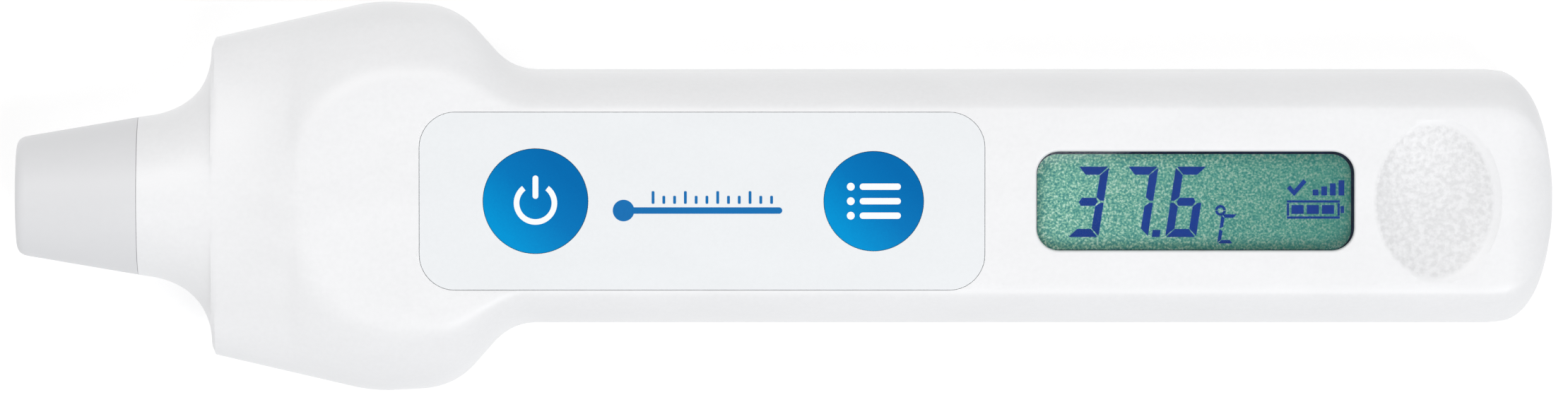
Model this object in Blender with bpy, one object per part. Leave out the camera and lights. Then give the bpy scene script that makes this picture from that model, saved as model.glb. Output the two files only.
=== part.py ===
"""Handheld infrared thermometer with a capped probe, two keys, a display and four AAA cells.

Every length in this file is in millimetres until solid() turns it into metres. A place is
written as (t, y, z): t runs along the body from the probe's tip to the tail, y across the handle,
and z up from the flat back that the thermometer rests on. The finished object is centred on
the world origin in X and Y, with the probe towards -X.
"""

import math

import bmesh
import bpy
import numpy as np

MM = 0.001

# Overall size and walls
TIP_T = 0.45
TAIL_T = 165.0
MIDDLE_T = (TIP_T + TAIL_T) / 2
HEIGHT = 22.0
WALL = 1.7
SEAM_Z = 11.0
SEAM_GAP = 0.3

# Probe nose: a cone whose axis lies in the seam plane
CAP_END = 13.4
CAP_WALL = 1.1
TIP_RADIUS = 6.17
TIP_CORNER = 1.0
NOSE_TAPER = 0.17
NECK_RADIUS = TIP_RADIUS + NOSE_TAPER * CAP_END

# Head: two ears that flare out behind the neck, then shoulders that fall to the handle
EAR_T = 21.5
EAR_HALF_WIDTH = 16.9
FLARE_POWER = 2.6
HANDLE_HALF_WIDTH = 13.4
HEAD_CORNERS = (
    (EAR_T, EAR_HALF_WIDTH),
    (38.9, 20.9),
    (47.5, 20.4),
    (53.65, HANDLE_HALF_WIDTH),
    (60.0, HANDLE_HALF_WIDTH),
)
HEAD_ROUNDING = (0.0, 2.4, 3.4, 2.8, 0.0)

# Flat top face, cut through the arched body
PLATEAU_FRONT = 30.2
PLATEAU_WIDEST = 44.4
PLATEAU_HEAD_HALF = 13.8
PLATEAU_HANDLE_HALF = 10.0
PLATEAU_POWER = 2.4

# Tail
TAIL_START = 158.2
TAIL_REACH = 0.995
TAIL_HEIGHT_LOSS = 0.45

# Keypad and keys
KEYPAD_T = (43.5, 104.4)
KEYPAD_HALF_WIDTH = 9.6
KEYPAD_CORNER = 3.9
KEYPAD_TOP = 21.9
KEYPAD_THICKNESS = 0.45
KEYPAD_FLOOR = 21.2
KEYS = {"on": (56.3, 5.5), "mem": (92.4, 5.22)}
KEY_POCKET_FLOOR = 20.85
KEY_STEM_RADIUS = 2.0
KEY_GAP = 0.2

# Display
DISPLAY_T = 126.75
DISPLAY_SIZE = (33.9, 10.6)
DISPLAY_CORNER = 2.4
WINDOW_MARGIN = 1.3
WINDOW_Z = (19.8, 20.7)
LCD_SIZE = (37.4, 14.2)
LCD_Z = (17.75, 19.5)

# Thumb dish
DISH_T = 152.8
DISH_RADII = (8.3, 10.5)
DISH_DEPTH = 1.0
DISH_RISE = 1.2
DISH_TILT = math.radians(3.0)

# Battery bay: two rows of two AAA cells
DOOR_T = 57.5
DOOR_Z = 5.0
TONGUE_HALF_WIDTH = 1.6
TONGUE_TOP = 2.7
GRIP_T = 66.0
GRIP_GROOVES = 6
GRIP_PITCH = 2.4
CELL_RADIUS = 5.25
CELL_LENGTH = 44.5
CELL_NUB = (1.9, 1.0)
CELL_Y = 5.4
CELL_Z = 7.25
CELL_GAP = 0.3
CARRIER_T = (58.8, 157.2)
CARRIER_END_WALL = 1.2
CARRIER_ROOF = (12.9, 13.7)

# Boards
BOARD_Z = (14.6, 15.6)
BOARD_T = (44.5, 147.0)
BOARD_HALF_WIDTH = 10.3
BOARD_TOP_GAP = 0.25
SENSOR_BOARD_T = (31.8, 33.0)
BUZZER_T = 44.5

# Fixings: each screw stands at (t, y), its post reaches the third value, and its size follows
HEAD_SCREW = {"boss": 2.9, "hole": 1.3, "head": 2.0, "base": 0.5, "tip": 15.6}
FRONT_SCREW = {"boss": 2.3, "hole": 1.05, "head": 1.5, "base": 0.6, "tip": 15.0}
TAIL_SCREW = {"boss": 2.3, "hole": 1.3, "head": 2.0, "base": 3.2, "tip": 15.6}
SCREWS = {
    "casing_screw_front_left": (27.5, 9.4, 18.9, FRONT_SCREW),
    "casing_screw_front_right": (27.5, -9.4, 18.9, FRONT_SCREW),
    "casing_screw_head_left": (40.0, 12.4, 20.8, HEAD_SCREW),
    "casing_screw_head_right": (40.0, -12.4, 20.8, HEAD_SCREW),
    "casing_screw_tail": (160.2, 0.0, 20.6, TAIL_SCREW),
}
SCREW_HEAD_HEIGHT = 1.5
BRIDGE_T = (158.4, 162.6)
BRIDGE_HALF_WIDTH = 10.5
BRIDGE_TOP = 8.0

# Aiming lights in the ears
AIM_Y = 13.6
AIM_RADIUS = 1.45
AIM_HOLE_RADIUS = 1.8


# ---------------------------------------------------------------- outer shape


def ramp(value, start, end):
    """0 before start, 1 after end and smooth between."""
    u = min(max((value - start) / (end - start), 0.0), 1.0)
    return u * u * (3.0 - 2.0 * u)


def rounded_path(corners, rounding, steps=10):
    """Points along straight runs between corners, each corner rounded over its reach."""
    path = [corners[0]]
    for i in range(1, len(corners) - 1):
        corner = np.array(corners[i])
        before = np.array(corners[i - 1]) - corner
        after = np.array(corners[i + 1]) - corner
        start = corner + before / np.linalg.norm(before) * rounding[i]
        end = corner + after / np.linalg.norm(after) * rounding[i]
        for s in np.linspace(0.0, 1.0, steps):
            point = (1 - s) ** 2 * start + 2 * s * (1 - s) * corner + s * s * end
            path.append(tuple(point))
    path.append(corners[-1])
    return np.array(path)


HEAD_PATH = rounded_path(HEAD_CORNERS, HEAD_ROUNDING)


def tail_share(t):
    """Width of the tail as a share of the handle's, from 1 down to the rounded end."""
    u = min(max((t - TAIL_START) / (TAIL_T - TAIL_START), 0.0), 1.0) * TAIL_REACH
    return (1.0 - u**2.6) ** (1.0 / 2.2)


def half_width(t):
    if t <= CAP_END:
        return TIP_RADIUS + NOSE_TAPER * t
    if t < EAR_T:
        u = (t - CAP_END) / (EAR_T - CAP_END)
        neck = NECK_RADIUS + 0.1 * (t - CAP_END)
        flare = 1.0 - (1.0 - u**FLARE_POWER) ** (1.0 / FLARE_POWER)
        return neck + flare * (EAR_HALF_WIDTH - NECK_RADIUS - 0.1 * (EAR_T - CAP_END))
    return float(np.interp(t, HEAD_PATH[:, 0], HEAD_PATH[:, 1])) * tail_share(t)


def plateau_half(t):
    """Half-width of the flat top face."""
    if t <= PLATEAU_FRONT:
        return 0.0
    if t < PLATEAU_WIDEST:
        u = (PLATEAU_WIDEST - t) / (PLATEAU_WIDEST - PLATEAU_FRONT)
        return PLATEAU_HEAD_HALF * (1.0 - u**PLATEAU_POWER) ** (1.0 / PLATEAU_POWER)
    narrowing = (PLATEAU_HEAD_HALF - PLATEAU_HANDLE_HALF) * ramp(t, 45.5, 55.5)
    return (PLATEAU_HEAD_HALF - narrowing) * tail_share(t)


def section(t, band=8, top=3, side=2, under=5):
    """Closed outline (y, z) across the body at t, from the top centre round by +y."""
    w = half_width(t)
    upper = SEAM_Z + 0.3 + 1.2 * ramp(t, CAP_END, 22.0) + 1.5 * ramp(t, 46.0, 57.0)
    lower = SEAM_Z - 0.3 - 2.2 * ramp(t, CAP_END, 22.0) - 2.5 * ramp(t, 46.0, 57.0)
    if t <= PLATEAU_FRONT:
        u = min(max((t - CAP_END) / (PLATEAU_FRONT - CAP_END), 0.0), 1.0)
        nose_top = SEAM_Z + min(w, NECK_RADIUS)
        rise = HEIGHT - SEAM_Z - NECK_RADIUS
        arch = nose_top + rise * (0.25 * u + 0.75 * u**3) - upper
    else:
        share = min(plateau_half(t) / w, 0.98)
        arch = (HEIGHT - upper) / math.sqrt(1.0 - share**2)
    crease = min(math.asin(min((HEIGHT - upper) / arch, 1.0)), math.radians(75.0))

    edge = 8.0 - 3.5 * ramp(t, 46.0, 57.0)
    flat = max(w - edge, 0.0) * ramp(t, CAP_END, 29.0)
    bottom = (SEAM_Z - min(w, NECK_RADIUS)) * (1.0 - ramp(t, 14.0, 29.0))

    half = []
    for angle in np.linspace(math.pi / 2, crease, top + 1)[:-1]:
        half.append((w * math.cos(angle), min(upper + arch * math.sin(angle), HEIGHT)))
    for angle in np.linspace(crease, 0.0, band + 1)[:-1]:
        half.append((w * math.cos(angle), min(upper + arch * math.sin(angle), HEIGHT)))
    for z in np.linspace(upper, lower, side + 1)[:-1]:
        half.append((w, z))
    for angle in np.linspace(0.0, math.pi / 2, under + 1):
        half.append((flat + (w - flat) * math.cos(angle), lower - (lower - bottom) * math.sin(angle)))
    half.append((0.0, bottom))
    half[0] = (0.0, half[0][1])
    if half[-2][0] < 0.6:
        half[-2] = (0.6, half[-2][1])

    keep = 1.0 - TAIL_HEIGHT_LOSS * (1.0 - tail_share(t))
    half = [(y, SEAM_Z + (z - SEAM_Z) * keep) for y, z in half]
    return half + [(-y, z) for y, z in half[-2:0:-1]]


def shrunk(outline, inset):
    """The outline moved inwards by inset, each point along its own normal."""
    points = np.array(outline)
    sides = np.roll(points, -1, axis=0) - points
    sides /= np.linalg.norm(sides, axis=1)[:, None]
    along = sides + np.roll(sides, 1, axis=0)
    normals = np.stack([along[:, 1], -along[:, 0]], axis=1)
    normals /= np.linalg.norm(normals, axis=1)[:, None]
    return [tuple(p) for p in points + normals * inset]


def outer_stations():
    return np.concatenate([
        [CAP_END + SEAM_GAP / 2, 15.5, 17.4, 19.0, 20.2, 20.9, 21.3, EAR_T],
        np.linspace(23.5, PLATEAU_FRONT, 4),
        np.linspace(31.0, 36.0, 4),
        np.linspace(38.0, 46.0, 5),
        np.linspace(47.3, 57.0, 9),
        [TAIL_START, 160.2, 161.7, 163.0, 164.0, 164.6, TAIL_T],
    ])


def inner_stations():
    return np.concatenate([
        [12.0, 15.2, 17.5, 19.5, 21.0, 22.2, 22.8, 23.1],
        np.linspace(26.0, 44.0, 6),
        np.linspace(46.0, 57.0, 6),
        [156.6, 159.0, 161.0, 162.0, 162.6],
    ])


def outer_loops(at):
    return [[(t - at[0], y, z) for y, z in section(t)] for t in outer_stations()]


def inner_loops():
    """The hollow: sections taken a wall's thickness nearer the ends, then shrunk by the wall."""
    loops = []
    for t in inner_stations():
        source = t - WALL + 2 * WALL * ramp(t, 40.0, 52.0)
        outline = shrunk(section(source, band=5, top=2, side=1, under=3), WALL)
        loops.append([(t, y, z) for y, z in outline])
    return loops


# ---------------------------------------------------------------- mesh makers


def clear_scene():
    for obj in list(bpy.data.objects):
        bpy.data.objects.remove(obj)


def material(name, colour, roughness, metallic=0.0, transmission=0.0):
    made = bpy.data.materials.new(name)
    made.use_nodes = True
    shader = made.node_tree.nodes["Principled BSDF"]
    shader.inputs["Base Color"].default_value = (*colour, 1.0)
    shader.inputs["Roughness"].default_value = roughness
    shader.inputs["Metallic"].default_value = metallic
    shader.inputs["Transmission Weight"].default_value = transmission
    made.diffuse_color = (*colour, 1.0)
    return made


def solid(name, points, faces, at, finish, smooth_below=40.0):
    """One object with its origin at (t, y, z); points are measured from there."""
    mesh = bpy.data.meshes.new(name)
    mesh.from_pydata([tuple(MM * c for c in p) for p in points], [], faces)
    work = bmesh.new()
    work.from_mesh(mesh)
    bmesh.ops.recalc_face_normals(work, faces=work.faces)
    work.to_mesh(mesh)
    work.free()
    mesh.shade_smooth()
    mesh.set_sharp_from_angle(angle=math.radians(smooth_below))
    mesh.materials.append(finish)
    obj = bpy.data.objects.new(name, mesh)
    obj.location = (MM * (at[0] - MIDDLE_T), MM * at[1], MM * at[2])
    bpy.context.scene.collection.objects.link(obj)
    return obj


def loft(name, loops, at, finish, smooth_below=40.0):
    """A closed solid through loops of equal length."""
    count = len(loops[0])
    points = [point for loop in loops for point in loop]
    faces = [tuple(range(count)), tuple(range(len(points) - count, len(points)))]
    for row in range(len(loops) - 1):
        for k in range(count):
            after = (k + 1) % count
            base = row * count
            faces.append((base + k, base + after, base + count + after, base + count + k))
    return solid(name, points, faces, at, finish, smooth_below)


def turned(name, profile, axis, at, finish, segments=24, smooth_below=40.0):
    """A turned solid. The profile is (distance along the axis, radius) from one end to the other.

    A profile that starts off the axis closes on itself and makes a ring or a tube.
    """
    on_axis = profile[0][1] == 0.0
    points, rings = [], []
    for along, radius in profile:
        if radius == 0.0:
            rings.append([len(points)])
            points.append((along, 0.0, 0.0))
            continue
        rings.append(list(range(len(points), len(points) + segments)))
        for k in range(segments):
            angle = 2 * math.pi * (k + 0.5) / segments
            points.append((along, radius * math.cos(angle), radius * math.sin(angle)))
    pairs = list(zip(rings, rings[1:]))
    if not on_axis:
        pairs.append((rings[-1], rings[0]))
    faces = []
    for first, second in pairs:
        for k in range(segments):
            after = (k + 1) % segments
            corners = [first[k % len(first)], first[after % len(first)]]
            corners += [second[after % len(second)], second[k % len(second)]]
            faces.append(tuple(dict.fromkeys(corners)))
    if axis == "z":
        points = [(y, z, x) for x, y, z in points]
    return solid(name, points, faces, at, finish, smooth_below)


def rounded_rectangle(length, width, radius, steps=5):
    """Corner arcs joined into an outline centred on the origin."""
    outline = []
    for quarter in range(4):
        sx, sy = ((1, 1), (-1, 1), (-1, -1), (1, -1))[quarter]
        centre = (sx * (length / 2 - radius), sy * (width / 2 - radius))
        for angle in np.linspace(0.0, math.pi / 2, steps + 1):
            turn = angle + quarter * math.pi / 2
            outline.append((centre[0] + radius * math.cos(turn), centre[1] + radius * math.sin(turn)))
    return outline


def slab(name, size, corner, z_range, centre, finish, steps=5):
    """A flat plate with rounded corners, its origin at the centre of its underside."""
    outline = rounded_rectangle(size[0], size[1], corner, steps)
    thickness = z_range[1] - z_range[0]
    loops = [[(x, y, z) for x, y in outline] for z in (0.0, thickness)]
    return loft(name, loops, (centre[0], centre[1], z_range[0]), finish)


def block(name, low, high, finish, bevel=0.0):
    """A box between two corners, its origin at its centre."""
    centre = [(a + b) / 2 for a, b in zip(low, high)]
    reach = [(b - a) / 2 for a, b in zip(low, high)]
    signs = [(sx, sy, sz) for sx in (-1, 1) for sy in (-1, 1) for sz in (-1, 1)]
    points = [(sx * reach[0], sy * reach[1], sz * reach[2]) for sx, sy, sz in signs]
    faces = [(0, 1, 3, 2), (4, 6, 7, 5), (0, 4, 5, 1), (2, 3, 7, 6), (0, 2, 6, 4), (1, 5, 7, 3)]
    obj = solid(name, points, faces, centre, finish)
    if bevel:
        rounding = obj.modifiers.new("edges", "BEVEL")
        rounding.width = MM * bevel
        rounding.segments = 1
    return obj


def post(name, t, y, z_range, radius, finish, segments=16):
    height = z_range[1] - z_range[0]
    profile = [(0.0, 0.0), (0.0, radius), (height, radius), (height, 0.0)]
    return turned(name, profile, "z", (t, y, z_range[0]), finish, segments)


def rod(name, t_range, y, z, radius, finish, segments=16):
    length = t_range[1] - t_range[0]
    profile = [(0.0, 0.0), (0.0, radius), (length, radius), (length, 0.0)]
    return turned(name, profile, "x", (t_range[0], y, z), finish, segments)


def combine(target, operation, *tools):
    """Boolean modifiers on target; each tool is kept as a hidden wire guide."""
    for tool in tools:
        modifier = target.modifiers.new(tool.name, "BOOLEAN")
        modifier.operation = operation
        modifier.object = tool
        tool.hide_render = True
        tool.display_type = "WIRE"


# ---------------------------------------------------------------- materials


clear_scene()
WHITE = material("body_white_plastic", (0.86, 0.86, 0.88), 0.38)
CAP = material("cap_cool_white_plastic", (0.80, 0.83, 0.88), 0.34)
FILM = material("keypad_film", (0.88, 0.88, 0.90), 0.42)
BLUE = material("key_blue", (0.0, 0.19, 0.55), 0.35)
CLEAR = material("clear_plastic", (0.95, 0.97, 0.97), 0.05, transmission=1.0)
LCD = material("lcd_green_glass", (0.30, 0.42, 0.33), 0.30)
DARK = material("dark_plastic", (0.03, 0.03, 0.035), 0.5)
BOARD = material("green_circuit_board", (0.02, 0.20, 0.09), 0.45)
SILVER = material("plated_steel", (0.72, 0.72, 0.74), 0.28, metallic=1.0)
GOLD = material("gilt_brass", (0.80, 0.60, 0.28), 0.25, metallic=1.0)
ALUMINIUM = material("aluminium", (0.78, 0.79, 0.80), 0.32, metallic=1.0)
RUBBER = material("silicone_rubber", (0.22, 0.23, 0.25), 0.7)
ZEBRA = material("conductive_rubber", (0.60, 0.45, 0.48), 0.75)
CELL = material("cell_wrap", (0.10, 0.13, 0.16), 0.35)
RED = material("red_led", (0.75, 0.05, 0.03), 0.15)
FLEX = material("flex_lead", (0.62, 0.33, 0.08), 0.4)


# ---------------------------------------------------------------- casings


FULL_T = (-20.0, TAIL_T + 20.0)
FULL_Y = 40.0
CENTRE = (MIDDLE_T, 0.0, 0.0)


def hollow():
    loops = [[(t - CENTRE[0], y, z) for t, y, z in loop] for loop in inner_loops()]
    return loft("guide_hollow", loops, CENTRE, WHITE)


def ear_bore(side, y):
    return rod(f"guide_ear_bore_{side}", (15.0, 28.0), y, SEAM_Z, AIM_HOLE_RADIUS, WHITE)


def thumb_dish():
    """A tilted ellipsoid: its tail side bites deeper than its display side."""
    rings = 12
    top = HEIGHT + DISH_RISE
    reach = DISH_RISE + DISH_DEPTH
    arc = [math.pi * k / rings for k in range(rings + 1)]
    profile = [(-reach * math.cos(a), max(math.sin(a), 0.0)) for a in arc]
    profile[0] = (-reach, 0.0)
    profile[-1] = (reach, 0.0)
    dish = turned("guide_thumb_dish", profile, "z", (DISH_T, 0.0, top), WHITE, 28)
    dish.scale = (DISH_RADII[0], DISH_RADII[1], 1.0)
    dish.rotation_euler = (0.0, DISH_TILT, 0.0)
    return dish


def upper_casing(inside, bores):
    casing = loft("upper_casing", outer_loops(CENTRE), CENTRE, WHITE, 30.0)
    high = (FULL_T[1], FULL_Y, SEAM_Z + SEAM_GAP / 2)
    below = block("guide_below_seam", (FULL_T[0], -FULL_Y, -20.0), high, WHITE)
    combine(casing, "DIFFERENCE", inside, below)
    for name, (t, y, top, screw) in SCREWS.items():
        pillar = post(f"guide_post_{name}", t, y, (SEAM_Z + SEAM_GAP, top), screw["boss"] - 0.2, WHITE)
        combine(casing, "UNION", pillar)
    for name, (t, y, _, screw) in SCREWS.items():
        hole = post(f"guide_post_hole_{name}", t, y, (5.0, screw["tip"] + 0.6), screw["hole"], WHITE, 12)
        combine(casing, "DIFFERENCE", hole)
    length = KEYPAD_T[1] - KEYPAD_T[0]
    middle = (sum(KEYPAD_T) / 2, 0.0)
    size = (length + 0.4, 2 * KEYPAD_HALF_WIDTH + 0.4)
    pocket = slab("guide_keypad_pocket", size, KEYPAD_CORNER + 0.2, (KEYPAD_FLOOR, 30.0), middle, WHITE)
    combine(casing, "DIFFERENCE", pocket)
    for name, (t, radius) in KEYS.items():
        well = post(f"guide_{name}_well", t, 0.0, (KEY_POCKET_FLOOR, 30.0), radius + KEY_GAP, WHITE, 24)
        bore = post(f"guide_{name}_bore", t, 0.0, (15.0, 30.0), KEY_STEM_RADIUS + 0.3, WHITE)
        combine(casing, "DIFFERENCE", well, bore)
    middle = (DISPLAY_T, 0.0)
    opening = slab("guide_display_opening", DISPLAY_SIZE, DISPLAY_CORNER, (15.0, 30.0), middle, WHITE)
    seat_size = [side + 2 * WINDOW_MARGIN + 0.6 for side in DISPLAY_SIZE]
    seat = slab("guide_window_seat", seat_size, 3.3, (15.0, WINDOW_Z[1] + 0.2), middle, WHITE)
    combine(casing, "DIFFERENCE", opening, seat, thumb_dish(), *bores)
    return casing


def lower_casing(inside, bores):
    casing = loft("lower_casing", outer_loops(CENTRE), CENTRE, WHITE, 30.0)
    low = (FULL_T[0], -FULL_Y, SEAM_Z - SEAM_GAP / 2)
    above = block("guide_above_seam", low, (FULL_T[1], FULL_Y, 40.0), WHITE)
    low = (DOOR_T - SEAM_GAP / 2, -FULL_Y, -20.0)
    high = (FULL_T[1], FULL_Y, DOOR_Z + SEAM_GAP / 2)
    bay = block("guide_door_space", low, high, WHITE)
    combine(casing, "DIFFERENCE", inside, above, bay)
    low = (BRIDGE_T[0], -BRIDGE_HALF_WIDTH, DOOR_Z + SEAM_GAP)
    bridge = block("guide_tail_bridge", low, (BRIDGE_T[1], BRIDGE_HALF_WIDTH, BRIDGE_TOP), WHITE)
    combine(casing, "UNION", bridge)
    through = {name: place for name, place in SCREWS.items() if place[0] < DOOR_T}
    for name, (t, y, _, screw) in through.items():
        boss = post(f"guide_boss_{name}", t, y, (1.1, SEAM_Z - SEAM_GAP), screw["boss"], WHITE)
        combine(casing, "UNION", boss)
    for name, (t, y, _, screw) in SCREWS.items():
        hole = post(f"guide_boss_hole_{name}", t, y, (-5.0, 15.0), screw["hole"], WHITE, 12)
        combine(casing, "DIFFERENCE", hole)
    for name, (t, y, _, screw) in through.items():
        seat = post(f"guide_head_seat_{name}", t, y, (-5.0, 2.4), screw["head"] + 0.3, WHITE)
        combine(casing, "DIFFERENCE", seat)
    for k in range(7):
        angle = 2 * math.pi * k / 6
        reach = 0.0 if k == 6 else 3.2
        t, y = BUZZER_T + reach * math.cos(angle), reach * math.sin(angle)
        combine(casing, "DIFFERENCE", post(f"guide_sound_hole_{k}", t, y, (-5.0, 3.5), 0.6, WHITE, 10))
    combine(casing, "DIFFERENCE", *bores)
    return casing


def battery_door(inside):
    at = (DOOR_T, 0.0, 0.0)
    door = loft("battery_door", outer_loops(at), at, WHITE, 30.0)
    low = (DOOR_T + SEAM_GAP / 2, -FULL_Y, -20.0)
    high = (FULL_T[1], FULL_Y, DOOR_Z - SEAM_GAP / 2)
    kept = block("guide_door_extent", low, high, WHITE)
    combine(door, "DIFFERENCE", inside)
    combine(door, "INTERSECT", kept)
    half = TONGUE_HALF_WIDTH
    root = block("guide_tongue_root", (57.9, -half, 1.2), (61.0, half, TONGUE_TOP), WHITE)
    tongue = block("guide_tongue", (54.4, -half, WALL + 0.3), (60.5, half, TONGUE_TOP - 0.1), WHITE)
    combine(door, "UNION", root, tongue)
    for k in range(GRIP_GROOVES):
        t = GRIP_T + k * GRIP_PITCH
        half = 6.5 - 0.35 * abs(k - (GRIP_GROOVES - 1) / 2) ** 2
        groove = block(f"guide_grip_groove_{k}", (t, -half, -1.0), (t + GRIP_PITCH / 2, half, 0.45), WHITE)
        combine(door, "DIFFERENCE", groove)
    return door


cavity = hollow()
ears = [ear_bore("left", AIM_Y), ear_bore("right", -AIM_Y)]
upper_casing(cavity, ears)
lower_casing(cavity, ears)
battery_door(cavity)


# ---------------------------------------------------------------- probe


def probe_cap():
    """A closed cup over the nozzle, its tip corner rounded."""
    mouth = CAP_END - SEAM_GAP / 2
    tip = half_width(TIP_T + TIP_CORNER) - TIP_CORNER
    outer = []
    for angle in np.linspace(0.0, math.pi / 2, 5):
        outer.append((TIP_T + TIP_CORNER * (1 - math.sin(angle)), tip + TIP_CORNER * math.cos(angle)))
    outer.reverse()
    profile = [(TIP_T, 0.0)] + outer + [(mouth, half_width(mouth)), (mouth, half_width(mouth) - CAP_WALL)]
    profile += [(1.8, half_width(1.8) - CAP_WALL - 0.3), (1.5, half_width(1.5) - CAP_WALL - 0.8), (1.5, 0.0)]
    return turned("probe_cap", profile, "x", (0.0, 0.0, SEAM_Z), CAP, 28)


def probe_nozzle():
    profile = [(2.0, 4.5), (2.3, 4.8), (13.0, 6.0), (21.8, 6.0), (21.8, 4.4), (3.4, 3.4), (2.0, 3.4)]
    return turned("probe_nozzle", profile, "x", (0.0, 0.0, SEAM_Z), CAP, 20)


def nose_seal():
    ring = []
    for angle in np.linspace(0.0, 2 * math.pi, 6, endpoint=False):
        ring.append((0.3 * math.cos(angle), 6.45 - 0.3 * math.sin(angle)))
    return turned("nose_seal", ring, "x", (11.0, 0.0, SEAM_Z), RUBBER, 20)


def sensor_parts():
    rod("ir_window", (2.3, 3.1), 0.0, SEAM_Z, 3.1, CLEAR, 24)
    can = [(0.0, 0.0), (0.0, 3.7), (0.4, 4.1), (3.8, 4.1), (3.8, 4.6), (4.5, 4.6), (4.5, 0.0)]
    turned("ir_sensor", can, "x", (22.2, 0.0, SEAM_Z), GOLD, 24)
    sleeve = [(22.2, 6.0), (30.6, 6.0), (30.6, 4.9), (22.2, 4.9)]
    turned("sensor_holder", sleeve, "x", (0.0, 0.0, SEAM_Z), ALUMINIUM, 24)
    low = (SENSOR_BOARD_T[0], -15.2, 7.6)
    block("sensor_board", low, (SENSOR_BOARD_T[1], 15.2, 14.4), BOARD, 0.3)
    lead = []
    for s in np.linspace(0.0, 1.0, 9):
        t = SENSOR_BOARD_T[1] + 0.3 + (BOARD_T[0] - SENSOR_BOARD_T[1] - 0.6) * s
        z = 11.6 + 3.3 * ramp(s, 0.0, 1.0) - 1.6 * math.sin(math.pi * s)
        lead.append([(t, -3.0, z), (t, 3.0, z), (t, 3.0, z + 0.35), (t, -3.0, z + 0.35)])
    loft("sensor_lead", lead, (0.0, 0.0, 0.0), FLEX)


def aiming_lights():
    lens = [(0.0, 0.0), (0.15, 0.9), (0.5, AIM_RADIUS), (5.4, AIM_RADIUS), (5.4, 0.0)]
    led = [(0.0, 0.0), (0.25, 0.9), (0.9, 1.45), (2.9, 1.45), (2.9, 1.7), (3.7, 1.7), (3.7, 0.0)]
    for side, y in (("left", AIM_Y), ("right", -AIM_Y)):
        turned(f"aiming_lens_{side}", lens, "x", (21.7, y, SEAM_Z), CLEAR, 16)
        turned(f"aiming_led_{side}", led, "x", (27.6, y, SEAM_Z), RED, 16)


probe_cap()
probe_nozzle()
nose_seal()
sensor_parts()
aiming_lights()


# ---------------------------------------------------------------- keypad and display


def keypad():
    length = KEYPAD_T[1] - KEYPAD_T[0]
    middle = (sum(KEYPAD_T) / 2, 0.0)
    z_range = (KEYPAD_TOP - KEYPAD_THICKNESS, KEYPAD_TOP)
    film = slab("keypad_overlay", (length, 2 * KEYPAD_HALF_WIDTH), KEYPAD_CORNER, z_range, middle, FILM, 6)
    for name, (t, radius) in KEYS.items():
        hole = post(f"guide_{name}_film_hole", t, 0.0, (15.0, 30.0), radius + KEY_GAP, FILM, 28)
        combine(film, "DIFFERENCE", hole)
        disc = KEYPAD_THICKNESS
        stem = KEYPAD_TOP - BOARD_Z[1] - 0.85
        profile = [(-stem, 0.0), (-stem, KEY_STEM_RADIUS), (-disc, KEY_STEM_RADIUS), (-disc, radius)]
        profile += [(-0.1, radius), (0.0, radius - 0.1), (0.0, 0.0)]
        turned(f"{name}_key", profile, "z", (t, 0.0, KEYPAD_TOP), BLUE, 28)
        dome = [(0.0, 0.0), (0.0, 3.0), (0.3, 2.5), (0.45, 1.5), (0.5, 0.0)]
        turned(f"{name}_key_dome", dome, "z", (t, 0.0, BOARD_Z[1] + 0.1), SILVER, 16)


def display():
    size = [side + 2 * WINDOW_MARGIN for side in DISPLAY_SIZE]
    centre = (DISPLAY_T, 0.0)
    base = BOARD_Z[1] + BOARD_TOP_GAP
    slab("lcd_window", size, 3.0, WINDOW_Z, centre, CLEAR)
    slab("lcd_glass", LCD_SIZE, 0.4, LCD_Z, centre, LCD, 1)
    frame = slab("lcd_frame", (LCD_SIZE[0] + 3.0, LCD_SIZE[1] + 3.0), 1.0, (base, 19.4), centre, DARK, 2)
    size = (LCD_SIZE[0] + 0.6, LCD_SIZE[1] + 0.6)
    inside = slab("guide_lcd_frame_inside", size, 0.5, (10.0, 25.0), centre, DARK, 1)
    combine(frame, "DIFFERENCE", inside)
    for side, y in (("left", 5.9), ("right", -5.9)):
        low = (DISPLAY_T - 16.5, y - 0.8, base)
        block(f"lcd_contact_strip_{side}", low, (DISPLAY_T + 16.5, y + 0.8, LCD_Z[0] - 0.2), ZEBRA)


keypad()
display()


# ---------------------------------------------------------------- electronics


def electronics():
    low = (BOARD_T[0], -BOARD_HALF_WIDTH, BOARD_Z[0])
    block("main_board", low, (BOARD_T[1], BOARD_HALF_WIDTH, BOARD_Z[1]), BOARD)
    base = BOARD_Z[1] + BOARD_TOP_GAP
    chips = {"processor_chip": (74.5, 0.0, 9.0, 9.0, 1.4), "memory_chip": (66.5, -5.5, 5.0, 6.0, 1.3)}
    for name, (t, y, length, width, height) in chips.items():
        low = (t - length / 2, y - width / 2, base)
        block(name, low, (t + length / 2, y + width / 2, base + height), DARK, 0.2)
    slab("crystal", (8.0, 3.4), 1.6, (base, base + 2.4), (83.5, 5.0), SILVER, 3)
    can = [(0.0, 0.0), (0.0, 2.0), (3.2, 2.0), (3.5, 1.8), (3.5, 0.0)]
    for side, t in (("front", 81.5), ("rear", 86.3)):
        turned(f"capacitor_{side}", can, "z", (t, -4.5, base), ALUMINIUM, 14)
    sounder = [(0.0, 0.0), (0.0, 7.2), (4.0, 7.2), (4.6, 6.6), (4.6, 1.2), (4.0, 1.0), (4.0, 0.0)]
    turned("buzzer", sounder, "z", (BUZZER_T, 0.0, WALL + 0.4), DARK, 24)


electronics()


# ---------------------------------------------------------------- battery bay


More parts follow.
